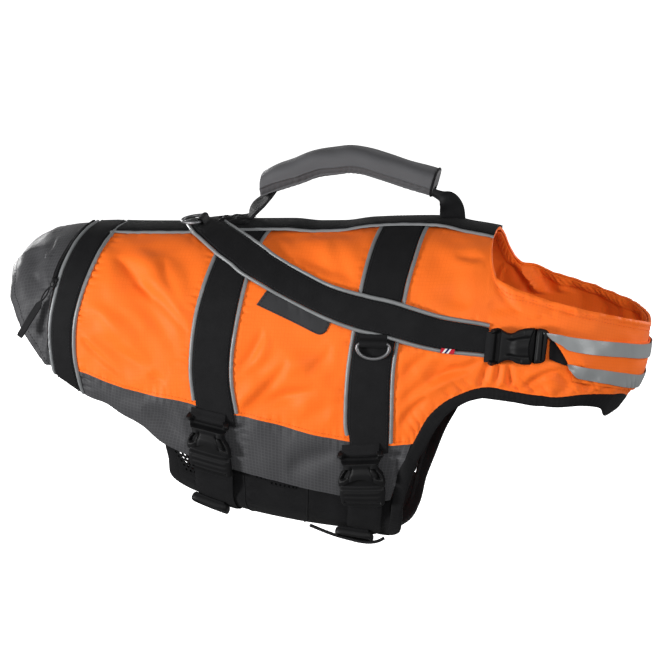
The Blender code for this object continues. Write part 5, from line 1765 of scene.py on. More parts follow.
@dataclass(frozen=True)
class BellyPanel:
    """The black see-through spacer mesh under the belly, with its two belts and adjusters."""

    pitch: float = 4.2
    hole: float = 0.42
    thickness: float = 1.5
    net_width: float = 228.0
    net_height: float = 196.0
    rim_width: float = 10.5
    solid_start: float = 147.0
    solid_row: tuple[Knot, ...] = table(Knot, (-176, 143), (-166, 145), (-160, 151.5), (-148, 153),
        (-138, 149), (-126, 145), (-89, 144.5), (-75, 146), (-61, 148.4), (-48, 147.6), (-35, 145.5),
        (20, 148), (48, 150))

    def solid_edge(self, station: Array) -> Array:
        """Angle where the open mesh ends and solid cloth begins."""
        return seam_angle(self.solid_row, station)

    def height(self, station: Array, angle: Array) -> Array:
        """Lift of the panel's outer face: tucked under the flanks, free below them."""
        down = 180 - np.abs(180 - angle)
        tucked = -Flanks.wall - 1.4 - 0.6 * fade(down, 150, 6)
        return tucked + (-0.6 - tucked) * (1 - fade(down, 153, 8))

    def net_guide(self) -> bpy.types.Mesh:
        """A lattice of triangles whose corners are the middles of the holes."""
        row_pitch = self.pitch * math.sqrt(3) / 2
        columns, rows = int(self.net_width / self.pitch), int(self.net_height / row_pitch)
        spots = spread(hammock(BELLY_ROWS), rows, columns * 2)
        index = np.arange(rows + 1)
        take = np.array([np.arange(columns) * 2 + (i % 2) for i in index])
        station = np.take_along_axis(spots.station, take, axis=1)
        angle = np.take_along_axis(spots.angle, take, axis=1)
        points = DRAPE.skin(Spots(station, angle, angle, angle), self.height(station, angle)) * MM
        numbers = np.arange(points.shape[0] * columns).reshape(-1, columns)
        down = (180 - np.abs(180 - angle)).ravel()
        open_part = down < self.solid_edge(station.ravel()) + 2
        faces = []
        for i in range(rows):
            a, b = numbers[i], numbers[i + 1]
            if i % 2 == 0:
                faces += [(a[j], b[j], a[j + 1]) for j in range(columns - 1)]
                faces += [(a[j + 1], b[j], b[j + 1]) for j in range(columns - 1)]
            else:
                faces += [(a[j], b[j], b[j + 1]) for j in range(columns - 1)]
                faces += [(a[j], b[j + 1], a[j + 1]) for j in range(columns - 1)]
        mesh = bpy.data.meshes.new("net_guide")
        faces = [face for face in faces if open_part[list(face)].any()]
        mesh.from_pydata(points.reshape(-1, 3).tolist(), [], faces)
        return mesh

    def knit(self, palette: Palette) -> None:
        """The mesh cloth itself: a net of threads with hexagonal holes."""
        kit = NodeInputs("spacer_net")
        kit.add("Hole Size", "NodeSocketFloat", 1 - self.hole)
        kit.add("Thickness", "NodeSocketFloat", self.thickness * MM)
        kit.add("Finish", "NodeSocketMaterial", palette.spacer)
        dual = kit.node("GeometryNodeDualMesh", {"Mesh": "Geometry", "Keep Boundaries": False})
        inset = kit.node("GeometryNodeExtrudeMesh", {"Mesh": dual.outputs[0], "Offset Scale": 0.0,
            "Individual": True}, mode="FACES")
        shrink = kit.node("GeometryNodeScaleElements", {"Geometry": inset.outputs["Mesh"],
            "Selection": inset.outputs["Top"], "Scale": "Hole Size"})
        threads = kit.node("GeometryNodeDeleteGeometry",
            {"Geometry": shrink.outputs[0], "Selection": inset.outputs["Top"]}, domain="FACE")
        merged = kit.node("GeometryNodeMergeByDistance", {"Geometry": threads.outputs[0], "Distance": 1e-6})
        under = kit.node("GeometryNodeExtrudeMesh", {"Mesh": merged.outputs[0], "Offset Scale": "Thickness",
            "Individual": False}, mode="FACES")
        back = kit.node("GeometryNodeFlipFaces", {"Mesh": merged.outputs[0]})
        joined = kit.node("GeometryNodeJoinGeometry")
        for part in (under.outputs["Mesh"], back.outputs[0]):
            kit.tree.links.new(part, joined.inputs[0])
        whole = kit.node("GeometryNodeMergeByDistance", {"Geometry": joined.outputs[0], "Distance": 1e-6})
        kit.finish(whole.outputs[0])
        made = kit.grow("spacer_mesh_net", self.net_guide())
        outward_faces(made.data)
        settle(made, Slot.SPACER, "belly_panel")

    def sew_solid(self, palette: Palette) -> None:
        """The solid black cloth over the middle of the belly."""
        start = self.solid_start
        rows = (CrossRow(-176.4, start, 50.5, start), *BELLY_ROWS[2:])
        spots = spread(hammock(rows), 120, 150)
        down = 180 - np.abs(180 - spots.angle)
        rise = (self.solid_edge(spots.station) - start) * fade(down - start, 0, 12)
        spots = spots._replace(angle=spots.angle + np.where(spots.angle < 180, rise, -rise))
        height = self.height(spots.station, spots.angle) + 0.4
        look = palette.spacer, Slot.SPACER
        sew("solid_belly_cloth", spots, (height, height - 2.2), look, held="stretched", every=2)

    def sew_rims(self, palette: Palette) -> None:
        """The two webbing belts across the panel."""
        draft = MeshDraft("belly_panel_rims")
        strips = ((0, -0.6, self.rim_width), (1, -3.0, 0.6), (0.338, -1.0, 1.0), (0.616, -1.0, 1.0))
        for share, behind, ahead in strips:
            spots = spread(hammock(BELLY_ROWS), 120, 6, (share, behind), (share, ahead))
            t = np.linspace(-1, 1, 7)[None]
            roll = 1.0 * np.sqrt(1 - 0.9 * t**2)
            height = self.height(spots.station, spots.angle)
            under_binding = -3.2 if share == 1 else -9.0
            top = DRAPE.skin(spots, np.maximum(height + roll, under_binding))
            draft.add_wall(top, DRAPE.skin(spots, height - self.thickness - roll), spots.coords)
        settle(draft.build(palette.binding, 60, weld=False), Slot.SPACER)

    def sew_belts(self, palette: Palette) -> None:
        """The two webbing belts across the panel and their adjusters."""
        for label, half, middles in (("rear", 19, ((145.4, -124), (152, -126), (160, -128), (166, -128),
                (174, -128), (180, -128))),
                ("front", 17, ((149, 27), (154, 26), (160, 23), (166, 20), (174, 9), (180, 6)))):
            rows = tuple(CrossRow(middle - half, turn, middle + half, turn) for turn, middle in middles)
            spots = spread(hammock(rows), 110, 12)
            t = np.linspace(-1, 1, 13)[None]
            top = 0.9 + 1.8 * rolled(t, 0.45)
            look = palette.webbing, Slot.WEBBING
            sew(f"belly_webbing_{label}", spots, (top, 0.9), look, f"belly_belt_{label}", "laid",
                50)

    def build(self, palette: Palette) -> None:
        """Sews the panel, rims and belts, and puts the adjusters on the belts."""
        self.knit(palette)
        self.sew_solid(palette)
        self.sew_rims(palette)
        self.sew_belts(palette)
        for glide in TRI_GLIDES:
            glide.build(palette)


def outward_faces(mesh: bpy.types.Mesh) -> None:
    """Turns all faces outward and shades them smooth."""
    body = bmesh.new()
    body.from_mesh(mesh)
    bmesh.ops.recalc_face_normals(body, faces=body.faces)
    body.to_mesh(mesh)
    body.free()
    mesh.shade_smooth()
    mesh.set_sharp_from_angle(angle=math.radians(50))


@dataclass(frozen=True)
class WebbingStrip:
    """A short length of webbing that follows a path of (u, n) points, v running across it."""

    path: tuple[tuple[float, float], ...]
    half: float
    thickness: float
    cells: int = 34

    def sew(self, name: str, place: Callable[[Array], Array], palette: Palette, *nodes: str) -> None:
        """Makes the strip, placed by a function of flat points."""
        route = curve_through([(u, n, 0.0) for u, n in self.path], self.cells)[:, :2]
        run = travel(route)
        ahead = unit(np.gradient(route, axis=0))
        over = np.stack([-ahead[:, 1], ahead[:, 0]], axis=1)
        t = np.linspace(-1, 1, 13)
        roll = self.thickness / 2 * rolled(t, 0.4)
        faces = []
        for sign in (1, -1):
            spot = route[:, None] + sign * over[:, None] * roll[None, :, None]
            across = np.broadcast_to(t[None] * self.half, spot.shape[:2])
            faces.append(np.stack([spot[..., 0], across, spot[..., 1]], axis=-1))
        coords = np.stack(np.broadcast_arrays(run[:, None] * MM, (t * self.half * MM)[None]), axis=-1)
        draft = MeshDraft(name)
        draft.add_wall(place(faces[0]), place(faces[1]), coords)
        settle(draft.build(palette.webbing, 50), Slot.WEBBING, *nodes)


class Half(Enum):
    """The two halves of a side-release buckle."""

    SOCKET = "socket"
    PLUG = "plug"


@dataclass(frozen=True)
class Buckle:
    """A side-release buckle, fastened, on both sides of the jacket."""

    name: str
    station: float
    angle: float
    heading: float
    width: float
    length: float
    joint_share: float
    folded_webbing: bool
    ridge: float = 0.0
    arch: float = -9.0
    window: float = 0.55
    fold_start: float = -6.0
    lift: float = 3.2
    thickness: float = 8.0

    @property
    def joint(self) -> float:
        """Where the socket ends and the plug shows, along the buckle."""
        return self.length * self.joint_share

    def half_width(self, u: Array, half: Half) -> Array:
        """Half the buckle's width along its length."""
        full, joint = self.width / 2, self.joint
        if half is Half.SOCKET:
            knots = [0, 0.06, 0.2, 0.29, 0.4, 0.52, 0.66, 0.8, 1.0]
            shares = [0.9, 0.97, 0.97, 0.86, 0.74, 0.74, 0.9, 0.98, 1.0]
            return full * smooth(u / joint, knots, shares)
        end = self.length
        return full * smooth(u, [joint - 3, joint + 3, end - 7, end - 2, end], [0.9, 0.96, 0.96, 0.9, 0.8])

    def socket_height(self, u: Array, t: Array) -> Array:
        """The socket's top: loop bar, slot, scooped panel, side windows and lips."""
        share = u / self.joint
        ears = step_up(np.abs(t), 0.72, 0.8)
        bar = hill(u, 3.4, 3.2) * (0.34 + 0.66 * ears)
        body = step_up(u, 9.0, 11.5) * (0.86 + 0.16 * hill(share, 0.72, 0.3))
        slot = hill(u, 7.9, 2.0) * (1 - ears)
        height = np.maximum(bar, body)
        height = height * (1 - 0.85 * slot) + 0.16
        centre = 1 - step_up(np.abs(t), 0.46, 0.56)
        height += 0.07 * centre * step_up(share, 0.4, 0.55)
        height -= 0.14 * hill(np.abs(t), 0.53, 0.045) * step_up(share, 0.36, 0.5)
        height -= 0.2 * hill(share, 0.5, 0.1) * (1 - step_up(np.abs(t), 0.5, 0.7))
        window = hill(np.abs(t), 0.78, 0.12) * step_up(share, 0.46, 0.52) * (1 - step_up(share, 0.76, 0.8))
        height -= self.window * window
        height += 0.18 * self.window * hill(share, 0.84, 0.035) * step_up(np.abs(t), 0.6, 0.7)
        height += self.ridge * hill(t, 0, 0.2) * step_up(share, 0.42, 0.55)
        return height

    def plug_height(self, u: Array, t: Array) -> Array:
        """The plug's top: low inside the socket's mouth, then ribs, slot and end bar."""
        joint, end = self.joint, self.length
        height = 0.36 + 0.5 * step_up(u, joint + 0.5, joint + 3.5)
        ribs = np.sin(math.tau * (u - joint) / 4.6) * step_up(u, joint + 2, joint + 4)
        flat = 1 - step_up(np.abs(t), 0.74, 0.86)
        height += 0.045 * ribs * flat
        slot = step_up(u, end - 5.4, end - 4.8) * (1 - step_up(u, end - 3.8, end - 3.2))
        height -= 0.3 * slot * (1 - step_up(np.abs(t), 0.78, 0.86))
        return height

    def half_points(self, half: Half) -> tuple[Array, Array]:
        """The top and underside of one half, as flat points."""
        u_cells, t_cells = 76, 56
        low, high = (0.0, self.joint) if half is Half.SOCKET else (self.joint - 11.0, self.length)
        s = np.linspace(0, 1, u_cells + 1)[:, None]
        t = np.sin(math.pi / 2 * np.linspace(-1, 1, t_cells + 1))[None]
        u = low + (high - low) * s + 0 * t
        height = (self.socket_height if half is Half.SOCKET else self.plug_height)(u, t + 0 * s)
        rim = (1 - np.abs(t) ** 9) ** (1 / 5)
        ends = np.clip(np.minimum(u - low, high - u) / 1.8, 0, 1)
        rounded = np.sqrt(1 - (1 - ends) ** 2)
        height = self.thickness * height * (0.15 + 0.85 * rim) * (0.2 + 0.8 * rounded)
        if half is Half.SOCKET:
            u = u + self.arch * (1 - t**2) ** 1.5 * s**3
        across = self.half_width(u, half) * t
        if half is Half.SOCKET:
            across = self.half_width(np.minimum(u, self.joint), half) * t
        bottom = self.lift + 0 * u
        return np.stack([u, across, self.lift + height], -1), np.stack([u, across, bottom], -1)

    def build(self, palette: Palette) -> None:
        """Moulds both halves on both sides, and folds the webbing over the loop bar."""
        for side in Side:
            sign = side.value
            heading = self.heading if sign > 0 else 180 - self.heading
            seat = Seat(self.station, sign * self.angle, heading, 0)
            for half in Half:
                top, bottom = self.half_points(half)
                draft = MeshDraft(f"{self.name}_moulded_{half.value}_{side.label}")
                draft.add_wall(seat.bend(top), seat.bend(bottom[::2, ::2]), top[..., :2] * MM)
                node = f"{self.name}_{half.value}_{side.label}"
                settle(draft.build(palette.plastic, 34, weld=False), Slot.PLASTIC, node)
            if self.folded_webbing:
                path = ((self.fold_start, 2.6), (-2, 4.2), (1.0, 6.0), (3.6, 6.3), (5.0, 5.4), (5.2, 4.0))
                strip = WebbingStrip(path, self.width / 2 * 0.8, 1.6)
                strip.sew(f"{self.name}_webbing_fold_{side.label}", seat.bend, palette)


BUCKLES = (Buckle("belly_buckle_rear", -125.5, 122.4, 0, 44, 54, 0.64, True),
    Buckle("belly_buckle_front", 26.5, 127.8, 0, 46, 54, 0.64, True), Buckle("neck_buckle", 153, 85.4, 84,
    36, 58, 0.76, True, ridge=0.08, arch=-3.5, window=0.1, fold_start=-3.5))


@dataclass(frozen=True)
class Ring:
    """A D-ring on its own hinge, with the webbing keeper that holds it."""

    name: str
    body: Body
    seat: Seat
    depth: float
    tail: float
    width: float = 32.0
    wire: float = 1.75
    corner: float = 4.0
    keeper_half: float = 13.6

    def outline(self) -> list[tuple[float, float]]:
        """A D: a straight bar along v at u = 0, round corners, and a bow out to the depth."""
        half = self.width / 2
        turns = np.linspace(0.15, math.pi / 2, 7)
        path = [(0.0, v) for v in np.linspace(-half + self.corner, half - self.corner, 14)]
        path += [(self.corner * (1 - math.cos(t)), half - self.corner + self.corner * math.sin(t))
            for t in turns]
        bow = np.linspace(0, 1, 22)[1:-1]
        reach = self.depth - self.corner
        path += [(self.corner + reach * math.sin(t * math.pi / 2), half * math.cos(t * math.pi / 2))
            for t in bow]
        path.append((self.depth, 0.0))
        return path + [(u, -v) for u, v in reversed(path[14:-1])]

    def build(self, palette: Palette) -> None:
        """Bends the ring and folds its keeper round the bar."""
        flat = np.array([(u, v, 0.0) for u, v in self.outline()])
        draft = MeshDraft(f"d_ring_{self.name}")
        draft.add_tube(self.seat.place(tube_rings(flat, self.wire, 20, closed=True)), closed=True)
        settle(draft.build(palette.chrome, 70), Slot.CHROME, f"ring_{self.name}", body=self.body)
        tail, drop = self.tail, -self.seat.lift + 3.0
        path = ((-tail, drop + 1.2), (-tail * 0.6, drop + 1.2), (-3.6, drop * 0.35 + 1.0), (-2.4, 2.2),
            (0.0, 3.2), (2.4, 2.2), (3.2, 0.0), (2.2, -2.3), (0.0, -3.1), (-3.0, drop * 0.9 - 0.6),
            (-tail * 0.6, drop - 0.2), (-tail, drop - 0.2))
        strip = WebbingStrip(path, self.keeper_half, 1.1, 60)
        strip.sew(f"keeper_fold_{self.name}", self.seat.place, palette, f"ring_keeper_{self.name}")


RINGS = (Ring("leash", Body.LEASH_RING, Seat(-146.5, 8.5, -90, 8.6, 4), 20.5, 12.0),
    Ring("side_right", Body.RIGHT_RING, Seat(40, 74.8, 0, 6.6, 8), 15.0, 9.0),
    Ring("side_left", Body.LEFT_RING, Seat(40, -74.8, 180, 6.6, 8), 15.0, 9.0))


class HandleSpot(NamedTuple):
    """A place on the handle's line, height left out where it lies on the back strip."""

    x: float
    z: float | None
    twist: float


@dataclass(frozen=True)
class CarryHandle:
    """A padded grey wrap round an arch of doubled webbing."""

    width: float = 42.0
    height: float = 27.0
    slot: tuple[float, float] = (28.4, 8.0)
    slot_drop: float = 8.0
    squareness: float = 2.9
    web_width: float = 26.0
    web_thickness: float = 3.2
    leg_rear: tuple[HandleSpot, ...] = table(HandleSpot, (-113, None, 0), (-106, None, 4),
        (-99.5, 14.0, 20), (-96, 19.5, 26), (-89, 26.0, 24), (-80, 33.0, 12))
    arch: tuple[HandleSpot, ...] = table(HandleSpot, (-88.5, 43.6, 0), (-75, 50, 0), (-52, 58, 0),
        (-32, 66, 0), (-12, 68.8, 0), (2, 70.6, 0), (14, 69.4, 0), (34, 64, 0), (60, 56, 0), (87, 48.5, 0))
    leg_front: tuple[HandleSpot, ...] = table(HandleSpot, (90, 36.5, 8), (96.5, 33.0, 30), (101, 27, 50),
        (103, 20, 64), (103.6, 11, 72))

    def frames(self, spots: Sequence[HandleSpot], count: int) -> tuple[Array, Array, Array]:
        """Points, width directions and thickness directions along the handle."""
        route = curve_through([(s[0], 0.0, s[1], s[2]) for s in spots], count)
        path, twist = route[:, :3], np.radians(route[:, 3])
        tangent = unit(np.gradient(path, axis=0))
        over = np.stack([-tangent[:, 2], np.zeros(len(path)), tangent[:, 0]], axis=1)
        wide = np.cos(twist)[:, None] * np.array([0.0, 1.0, 0.0]) + np.sin(twist)[:, None] * over
        return path, wide, np.cross(tangent, wide)

    def foot(self, spot: HandleSpot) -> HandleSpot:
        """Gives a spot on the back strip its height."""
        if spot.z is not None:
            return spot
        flat, none = np.array([float(spot.x)]), np.zeros(1)
        lift = LAYERS.over_girths(flat, none) + LAYERS.webbing + 0.6 + self.web_thickness / 2
        return HandleSpot(spot.x, float(BODY.lifted(flat, none, lift)[0, 2]), spot.twist)

    def weave_webbing(self, palette: Palette) -> None:
        """The doubled webbing from foot to foot through the wrap."""
        arch, _, up = self.frames(self.arch, len(self.arch))
        sleeved = [HandleSpot(spot[0], spot[2], 0) for spot in (arch - up * self.slot_drop)[1:-1]]
        route = [self.foot(spot) for spot in (*self.leg_rear, *sleeved, *self.leg_front)]
        path, wide, thick = self.frames(route, 200)
        run = travel(path)
        t = np.linspace(-1, 1, 15)
        roll = self.web_thickness / 2 * rolled(t, 0.4)
        bow = 0.5 * np.sin(run / 6.1)[:, None] * (1 - t**2)[None]
        faces = []
        for sign in (1, -1):
            lift = sign * roll[None] + bow * step_up(np.minimum(run, run[-1] - run), 12, 18)[:, None]
            spot = path[:, None] + (t * self.web_width / 2)[None, :, None] * wide[:, None]
            faces.append(spot + lift[..., None] * thick[:, None])
        across = t * self.web_width / 2 * MM
        coords = np.stack(np.broadcast_arrays(run[:, None] * MM, across[None]), axis=-1)
        draft = MeshDraft("handle_strap")
        draft.add_wall(faces[0], faces[1], coords)
        settle(draft.build(palette.webbing, 50, weld=False), Slot.WEBBING, "handle_webbing")

    def wrap_point(self, run: Array, turn: Array) -> tuple[Array, Array]:
        """How far the wrap reaches across and up at a turn, with its padding, lap and creases."""
        c, s = np.cos(turn), np.sin(turn)
        reach = (np.abs(c) ** self.squareness + np.abs(s) ** self.squareness) ** (-1 / self.squareness)
        degrees = np.degrees(turn)
        fold = 198 - 8 * fade(run, 8, 60)
        below = np.where(degrees < 270, degrees, 540 - degrees)
        under = step_up(below, fold + 1, fold + 5)
        lap = (1.5 + 5.5 * np.clip((below - fold) / 60, 0, 1)) * under - 0.9 * hill(below, fold, 2.2)
        drawn = np.sin(math.tau * run / 6.4 + 3.7 * np.sin(run / 19) + 9 * c) * (0.2 + uneven(run, 2.0))
        soft = 0.35 * np.sin(run / 15 + 2 * turn) + 0.25 * np.sin(run / 7.3 - 3 * turn)
        pull = 0.2 * under * drawn + soft
        return (self.width / 2 * reach + pull - lap) * c, (self.height / 2 * reach + pull) * s

    def pad_wrap(self, palette: Palette) -> None:
        """The padded wrap: smooth above, lapped along its lower sides and drawn in underneath."""
        count, sides = 150, 120
        path, wide, thick = self.frames(self.arch, count)
        run = travel(path)
        turn = np.linspace(0, math.tau, sides, endpoint=False)
        across, over = self.wrap_point(run[:, None], turn[None])
        ends = np.clip(np.minimum(run, run[-1] - run) / 3.0, 0, 1)
        tuck = (0.93 + 0.07 * np.sqrt(1 - (1 - ends) ** 2))[:, None]
        upright = np.clip(1 - run / 24, 0, 1)[:, None]

        def round_path(across: Array, over: Array) -> Array:
            """Points about the arch, its rear end cut off upright."""
            offset = across[..., None] * wide[:, None] + over[..., None] * thick[:, None]
            offset[..., 0] *= 1 - upright
            return path[:, None] + offset

        outer = round_path(across * tuck, over * tuck)
        slot_reach = 1 / np.maximum(np.abs(np.cos(turn)), np.abs(np.sin(turn)))
        slot_across = self.slot[0] / 2 * slot_reach * np.cos(turn)
        slot_over = self.slot[1] / 2 * slot_reach * np.sin(turn) - self.slot_drop
        inner = round_path(slot_across[None], slot_over[None])
        draft = MeshDraft("padded_wrap")
        draft.add_tube(outer, tube_coords(outer), capped=False)
        draft.add_tube(inner[::2], tube_coords(inner[::2]), capped=False)
        for k in (0, -1):
            draft.add_tube(np.stack([outer[k], (outer[k] + inner[k]) / 2, inner[k]]), capped=False)
        made = settle(draft.build(palette.wrap, 60), Slot.WRAP, "handle_wrap")
        self.bind_end(outer, palette)

    def bind_end(self, outer: Array, palette: Palette) -> None:
        """The black binding round the wrap's front end."""
        ring = outer[-2]
        rings = tube_rings(ring, 1.3, 10, closed=True)
        draft = MeshDraft("wrap_end_binding")
        draft.add_tube(rings, closed=True)
        settle(draft.build(palette.binding, 60), Slot.WEBBING)

    def crumple_foot(self, palette: Palette) -> None:
        """The wrinkled end of the webbing that is sewn down behind the handle."""
        rows = tuple(CrossRow(station, -11.5, station, 11.5) for station in (-132, -122, -112, -99))
        spots = spread(rows, 60, 40)
        end = spots.from_ends
        side = np.minimum(spots.across, spots.across[:, -1:] - spots.across) / MM
        x, y = spots.along / MM, spots.across / MM
        crease = 0.9 * np.sin(x / 2.4 + 1.8 * np.sin(y / 6)) + 0.6 * np.sin((x + y) / 3.1)
        height = 2.4 + LAYERS.over_girths(spots.station, spots.angle)
        body = (1.6 + crease) * step_up(end, 0, 5) * step_up(side, 0, 4) + 0.5
        sew("handle_foot_fold", spots, (height + np.maximum(body, 0.3), height),
            (palette.binding, Slot.WEBBING))

    def build(self, palette: Palette) -> None:
        """Makes the webbing, the wrap and the sewn foot."""
        self.weave_webbing(palette)
        self.pad_wrap(palette)
        self.crumple_foot(palette)


ZIP_ROWS = table(CrossRow, (-266.6, 0, -244.2, 0), (-269.7, 17, -251.8, 17), (-276.7, 37, -258.6, 37),
    (-283.2, 50, -262.9, 50), (-287.1, 60, -265.8, 60), (-285.9, 67, -268.2, 67), (-289.1, 81, -272.2, 81),
    (-292.1, 97, -276.2, 97), (-291.5, 112, -277, 112), (-288.6, 124, -276.6, 124))


@dataclass(frozen=True)
class RunStyle:
    """Sizes of repeated capsules along a line, in metres."""

    pitch: float
    length: float
    radius: float


@dataclass(frozen=True)
class Runs:
    """Capsules repeated along lines: stitches lie along them, zip teeth across."""

    style: RunStyle
    across: bool = False

    def guide(self, lines: Sequence[Array]) -> bpy.types.Mesh:
        """Lines of points in millimetres as one mesh of edges."""
        mesh = bpy.data.meshes.new("run_lines")
        points = np.concatenate(lines) * MM
        edges, first = [], 0
        for line in lines:
            edges += [(first + k, first + k + 1) for k in range(len(line) - 1)]
            first += len(line)
        mesh.from_pydata(points.tolist(), edges, [])
        return mesh

    def grow(self, name: str, lines: Sequence[Array], material: Material) -> Thing:
        """Repeats the capsule along all lines."""
        kit = NodeInputs(name + "_tree")
        kit.add("Pitch", "NodeSocketFloat", self.style.pitch)
        kit.add("Length", "NodeSocketFloat", self.style.length)
        kit.add("Radius", "NodeSocketFloat", self.style.radius)
        kit.add("Finish", "NodeSocketMaterial", material)
        curve = kit.node("GeometryNodeMeshToCurve", {"Mesh": "Geometry"})
        spots = kit.node("GeometryNodeCurveToPoints", {"Curve": curve.outputs[0], "Length": "Pitch"},
            mode="LENGTH")
        bead = kit.node("GeometryNodeMeshUVSphere", {"Segments": 6, "Rings": 4, "Radius": 1.0})
        half = kit.node("ShaderNodeMath", {0: "Length", 1: 0.5}, operation="MULTIPLY")
        parts = {"X": "Radius", "Y": "Radius", "Z": half.outputs[0]}
        if self.across:
            parts = {"X": half.outputs[0], "Y": half.outputs[0], "Z": "Radius"}
        size = kit.node("ShaderNodeCombineXYZ", parts)
        placed = kit.node("GeometryNodeInstanceOnPoints", {"Points": spots.outputs["Points"],
            "Instance": bead.outputs["Mesh"], "Rotation": spots.outputs["Rotation"],
            "Scale": size.outputs[0]})
        kit.finish(placed.outputs[0])
        made = kit.grow(name, self.guide(lines))
        made.data.shade_smooth()
        return made


@dataclass(frozen=True)
class ZipFastening:
    """The zip between the rump and the rear band, with its slider, cord loop and pull tab."""

    seat: Seat = Seat(-287.5, 68.2, -32, 6.4)
    slider: Seat = Seat(-282.4, 61.9, -22, 0)
    loop_length: float = 18.5
    pull_length: float = 59.0
    pull_half: float = 3.7

    def lay_tape(self, palette: Palette) -> None:
        """The zip's tape, a little wavy, and its coil of teeth."""
        spots = spread(saddle(ZIP_ROWS), 220, 10)
        ripple = 0.25 * np.sin(spots.along / MM / 6.3)
        look = palette.binding, Slot.WEBBING
        sew("zip_tape_cloth", spots, (ripple, ripple - 1.6), look, "zip_tape", "laid")
        line = spread(saddle(ZIP_ROWS), 300, 1, (0, 3.4), (0, 5.0))
        points = DRAPE.skin(line, 0.7)[line.angle[:, 0] < 61, 0]
        teeth = Runs(RunStyle(0.0019, 0.0042, 0.00072), across=True)
        coil = teeth.grow("zip_coil", [points], palette.elastic)
        settle(coil, Slot.PLASTIC)

    def mould_slider(self, palette: Palette) -> None:
        """The slider: a waisted block with a bridge over it."""
        u = np.linspace(0, 10.5, 34)[:, None]
        t = np.sin(math.pi / 2 * np.linspace(-1, 1, 25))[None]
        half = smooth(u, [0, 2, 5, 8, 10.5], [2.6, 3.4, 2.9, 3.3, 2.2])
        ends = np.clip(np.minimum(u, 10.5 - u) / 1.4, 0, 1)
        bridge = 1.3 * hill(u, 5.6, 2.8) * (np.abs(t) < 0.45)
        height = (2.1 + 0.5 * hill(u, 2.2, 1.8)) * (1 - np.abs(t) ** 7) ** 0.4
        height = height * (0.3 + 0.7 * ends**0.5) + bridge
        top = np.stack(np.broadcast_arrays(u, half * t, 3.0 + 0.9 * height + 0.12), axis=-1)
        low = np.stack(np.broadcast_arrays(u, half * t, 3.0 + 0 * u), axis=-1)
        draft = MeshDraft("zip_slider_block")
        draft.add_wall(self.slider.bend(top), self.slider.bend(low), top[..., :2] * MM)
        settle(draft.build(palette.plastic, 40, weld=False), Slot.CHROME, "zip_slider")

    def sew_pull(self, palette: Palette) -> None:
        """The cord loop and the woven tab that swing on the slider."""
        place = self.seat.place
        rise = np.linspace(0, math.pi, 30)
        loop = self.loop_length
        left = [(loop * s + 2, -1.35 * math.sin(math.pi * min(s * 1.2, 1) ** 0.8) - 0.35)
            for s in np.linspace(1, 0.06, 14)]
        path = left + [(2 - 1.8 * math.sin(t), -0.6 * math.cos(t)) for t in rise[4:-4:4]]
        path += [(u, -v) for u, v in reversed(left)]
        flat = np.array([(u, v, -0.9) for u, v in path])
        draft = MeshDraft("zip_cord_loop_and_tab")
        rings = tube_rings(flat, 0.75, 10)
        draft.add_tube(place(rings), tube_coords(rings))
        u = np.linspace(self.loop_length - 1.5, self.pull_length, 60)[:, None]
        t = np.linspace(-1, 1, 13)[None]
        share = (u - self.loop_length) / (self.pull_length - self.loop_length)
        half = self.pull_half * np.clip(0.55 + 6 * share, 0, 1) * np.clip(1 - 2.5 * (share - 0.94), 0.7, 1)
        roll = 0.8 * rolled(t, 0.45)
        wave = 0.25 * np.sin(u / 5.1)
        top = np.stack(np.broadcast_arrays(u, half * t, -0.9 + roll + wave), axis=-1)
        low = np.stack(np.broadcast_arrays(u, half * t, -0.9 - roll + wave), axis=-1)
        draft.add_wall(place(top), place(low), top[..., :2] * MM)
        settle(draft.build(palette.elastic, 60), Slot.WEBBING, "zip_pull", body=Body.ZIP_PULL)

    def build(self, palette: Palette) -> None:
        """Makes the whole zip."""
        self.lay_tape(palette)
        self.mould_slider(palette)
        self.sew_pull(palette)


@dataclass(frozen=True)
class Patches:
    """The bare label patches and the striped tab on the shoulder strap."""

    def sew_labels(self, palette: Palette) -> list[Array]:
        """Both label patches. Returns the lines of their border seams."""
        seams = []
        for side in Side:
            sign = side.value
            rows = table(CrossRow, (-68.5, sign * 51.9, -78, sign * 59.8),
                (-36, sign * 57.4, -43, sign * 65.6), (-3, sign * 63, -7.5, sign * 72.4))
            spots = spread(rows, 60, 14)
            s = np.linspace(0, 1, 61)[:, None]
            t = np.linspace(0, 1, 15)[None]
            corner = np.clip((s - 0.86) / 0.14, 0, 1)
            keep = 1 - 0.72 * (1 - np.sqrt(1 - corner**2))
            station = spots.station[:, :1] + (spots.station - spots.station[:, :1]) * keep
            angle = spots.angle[:, :1] + (spots.angle - spots.angle[:, :1]) * keep
            spots = Spots(station, angle, spots.along, spots.across)
            edge = np.minimum(np.minimum(s, 1 - s) * 76, np.minimum(t, 1 - t) * 14)
            height = 0.5 + 0.35 + 0.55 * step_up(edge, 0, 1.2)
            look = palette.patch, Slot.WEBBING
            sew(f"bare_patch_{side.label}", spots, (height, 0.5), look, f"label_patch_{side.label}", "laid")
            points = DRAPE.skin(spots, 1.4)
            seams += [points[2:-2, 1], points[2:-2, -2], points[2, 1:-1], points[-3, 1:-1]]
        return seams

    def sew_tab(self, palette: Palette) -> None:
        """The folded striped tab over the shoulder strap's lower piping."""
        spots = spread((CrossRow(106.6, 80.2, 105, 82.6), CrossRow(120, 82.6, 118.6, 85.0)), 40, 12)
        t = np.linspace(-1, 1, 13)[None]
        crown = 1.0 * (0.35 + 0.65 * np.sqrt(1 - 0.95 * t**2))
        base = LAYERS.over_all(spots.station, spots.angle) + 2.3
        sew("striped_tab", spots, (base + crown, base - 0.2), (palette.flag, Slot.FLAG), "flag_tab")

    def build(self, palette: Palette) -> list[Array]:
        """Sews the patches and the tab."""
        self.sew_tab(palette)
        return self.sew_labels(palette)


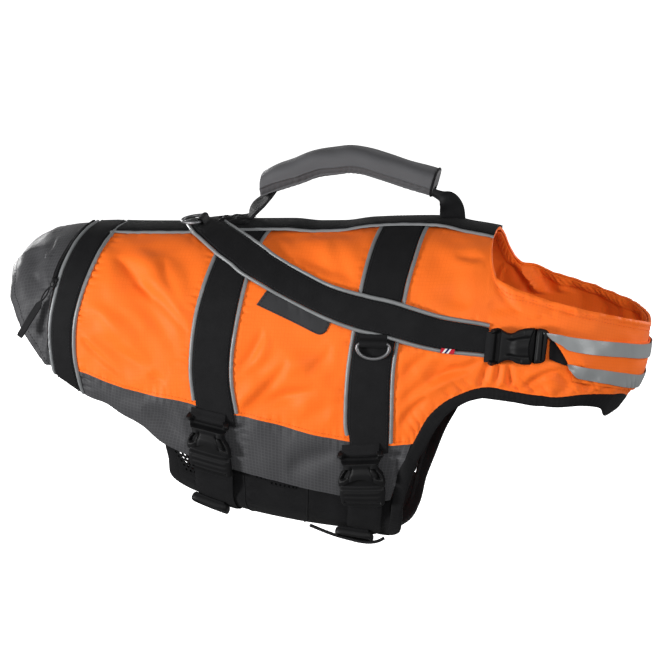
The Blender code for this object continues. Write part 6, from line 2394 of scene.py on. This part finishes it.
@dataclass(frozen=True)
class Stitching:
    """All the visible seams."""

    black: RunStyle = RunStyle(0.0034, 0.0026, 0.00034)
    orange: RunStyle = RunStyle(0.0034, 0.0025, 0.00036)

    def neck_lines(self) -> list[Array]:
        """Two seams below the neck's hem on both sides."""
        lines = []
        for side in Side:
            for drop in (6.0, 10.0):
                station = np.linspace(150, 352, 220)
                edge = seam_angle(NECK_EDGE, station)
                spots = Spots(station, side.value * (edge + drop / GIRTH_MM), station, station)
                lines.append(DRAPE.skin(spots, 0.15))
        return lines

    def seam_lines(self) -> list[Array]:
        """The flank seams, sewn just above the join."""
        lines = []
        for side in Side:
            station = np.linspace(-255, 70, 320)
            seam = seam_angle(FLANK_SEAM, station)
            lines.append(DRAPE.skin(Spots(station, side.value * (seam - 1.5), station, station), 0.15))
        return lines

    def black_lines(self) -> list[Array]:
        """The straps' edges and the rump's hem."""
        lines = [line for strap in STRAPS for line in strap.edge_lines(2.2)]
        hem = spread(saddle(RUMP_ROWS), 260, 1, (1, -7.0), (1, -6.0))
        lines.append(DRAPE.skin(hem, 0.15)[:, 0])
        return lines

    def build(self, palette: Palette, extra: Sequence[Array]) -> None:
        """Sews every seam."""
        black = Runs(self.black).grow("black_seams", self.black_lines() + list(extra), palette.black_thread)
        settle(black, Slot.WEBBING)
        lines = self.neck_lines() + self.seam_lines()
        orange = Runs(self.orange).grow("orange_seams", lines, palette.orange_thread)
        settle(orange, Slot.ORANGE)


def main() -> None:
    """Builds the studio, then every piece of the jacket."""
    logging.basicConfig(level=logging.INFO, format="%(message)s")
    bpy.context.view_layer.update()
    studio = Studio()
    studio.place_camera()
    palette = Palette.mix()
    ElasticCord().build(palette)
    studio.build()
    for panel in (SidePanels(), Flanks(), RumpPanel()):
        panel.build(palette)
    for strap in STRAPS:
        strap.build(palette)
    Binding("leg_opening_binding", "leg_binding", hammock(LEG_ROWS), 260, 0.9, -3.4).build(palette)
    Binding("collar_edge_binding", "collar_binding", wrap_front(COLLAR_BINDING_ROWS), 260, 0.9,
        -3.0).build(palette)
    CollarFront().build(palette)
    BellyPanel().build(palette)
    for buckle in BUCKLES:
        buckle.build(palette)
    for ring in RINGS:
        ring.build(palette)
    CarryHandle().build(palette)
    ZipFastening().build(palette)
    seams = Patches().build(palette)
    Stitching().build(palette, seams)


if __name__ == "__main__":
    main()
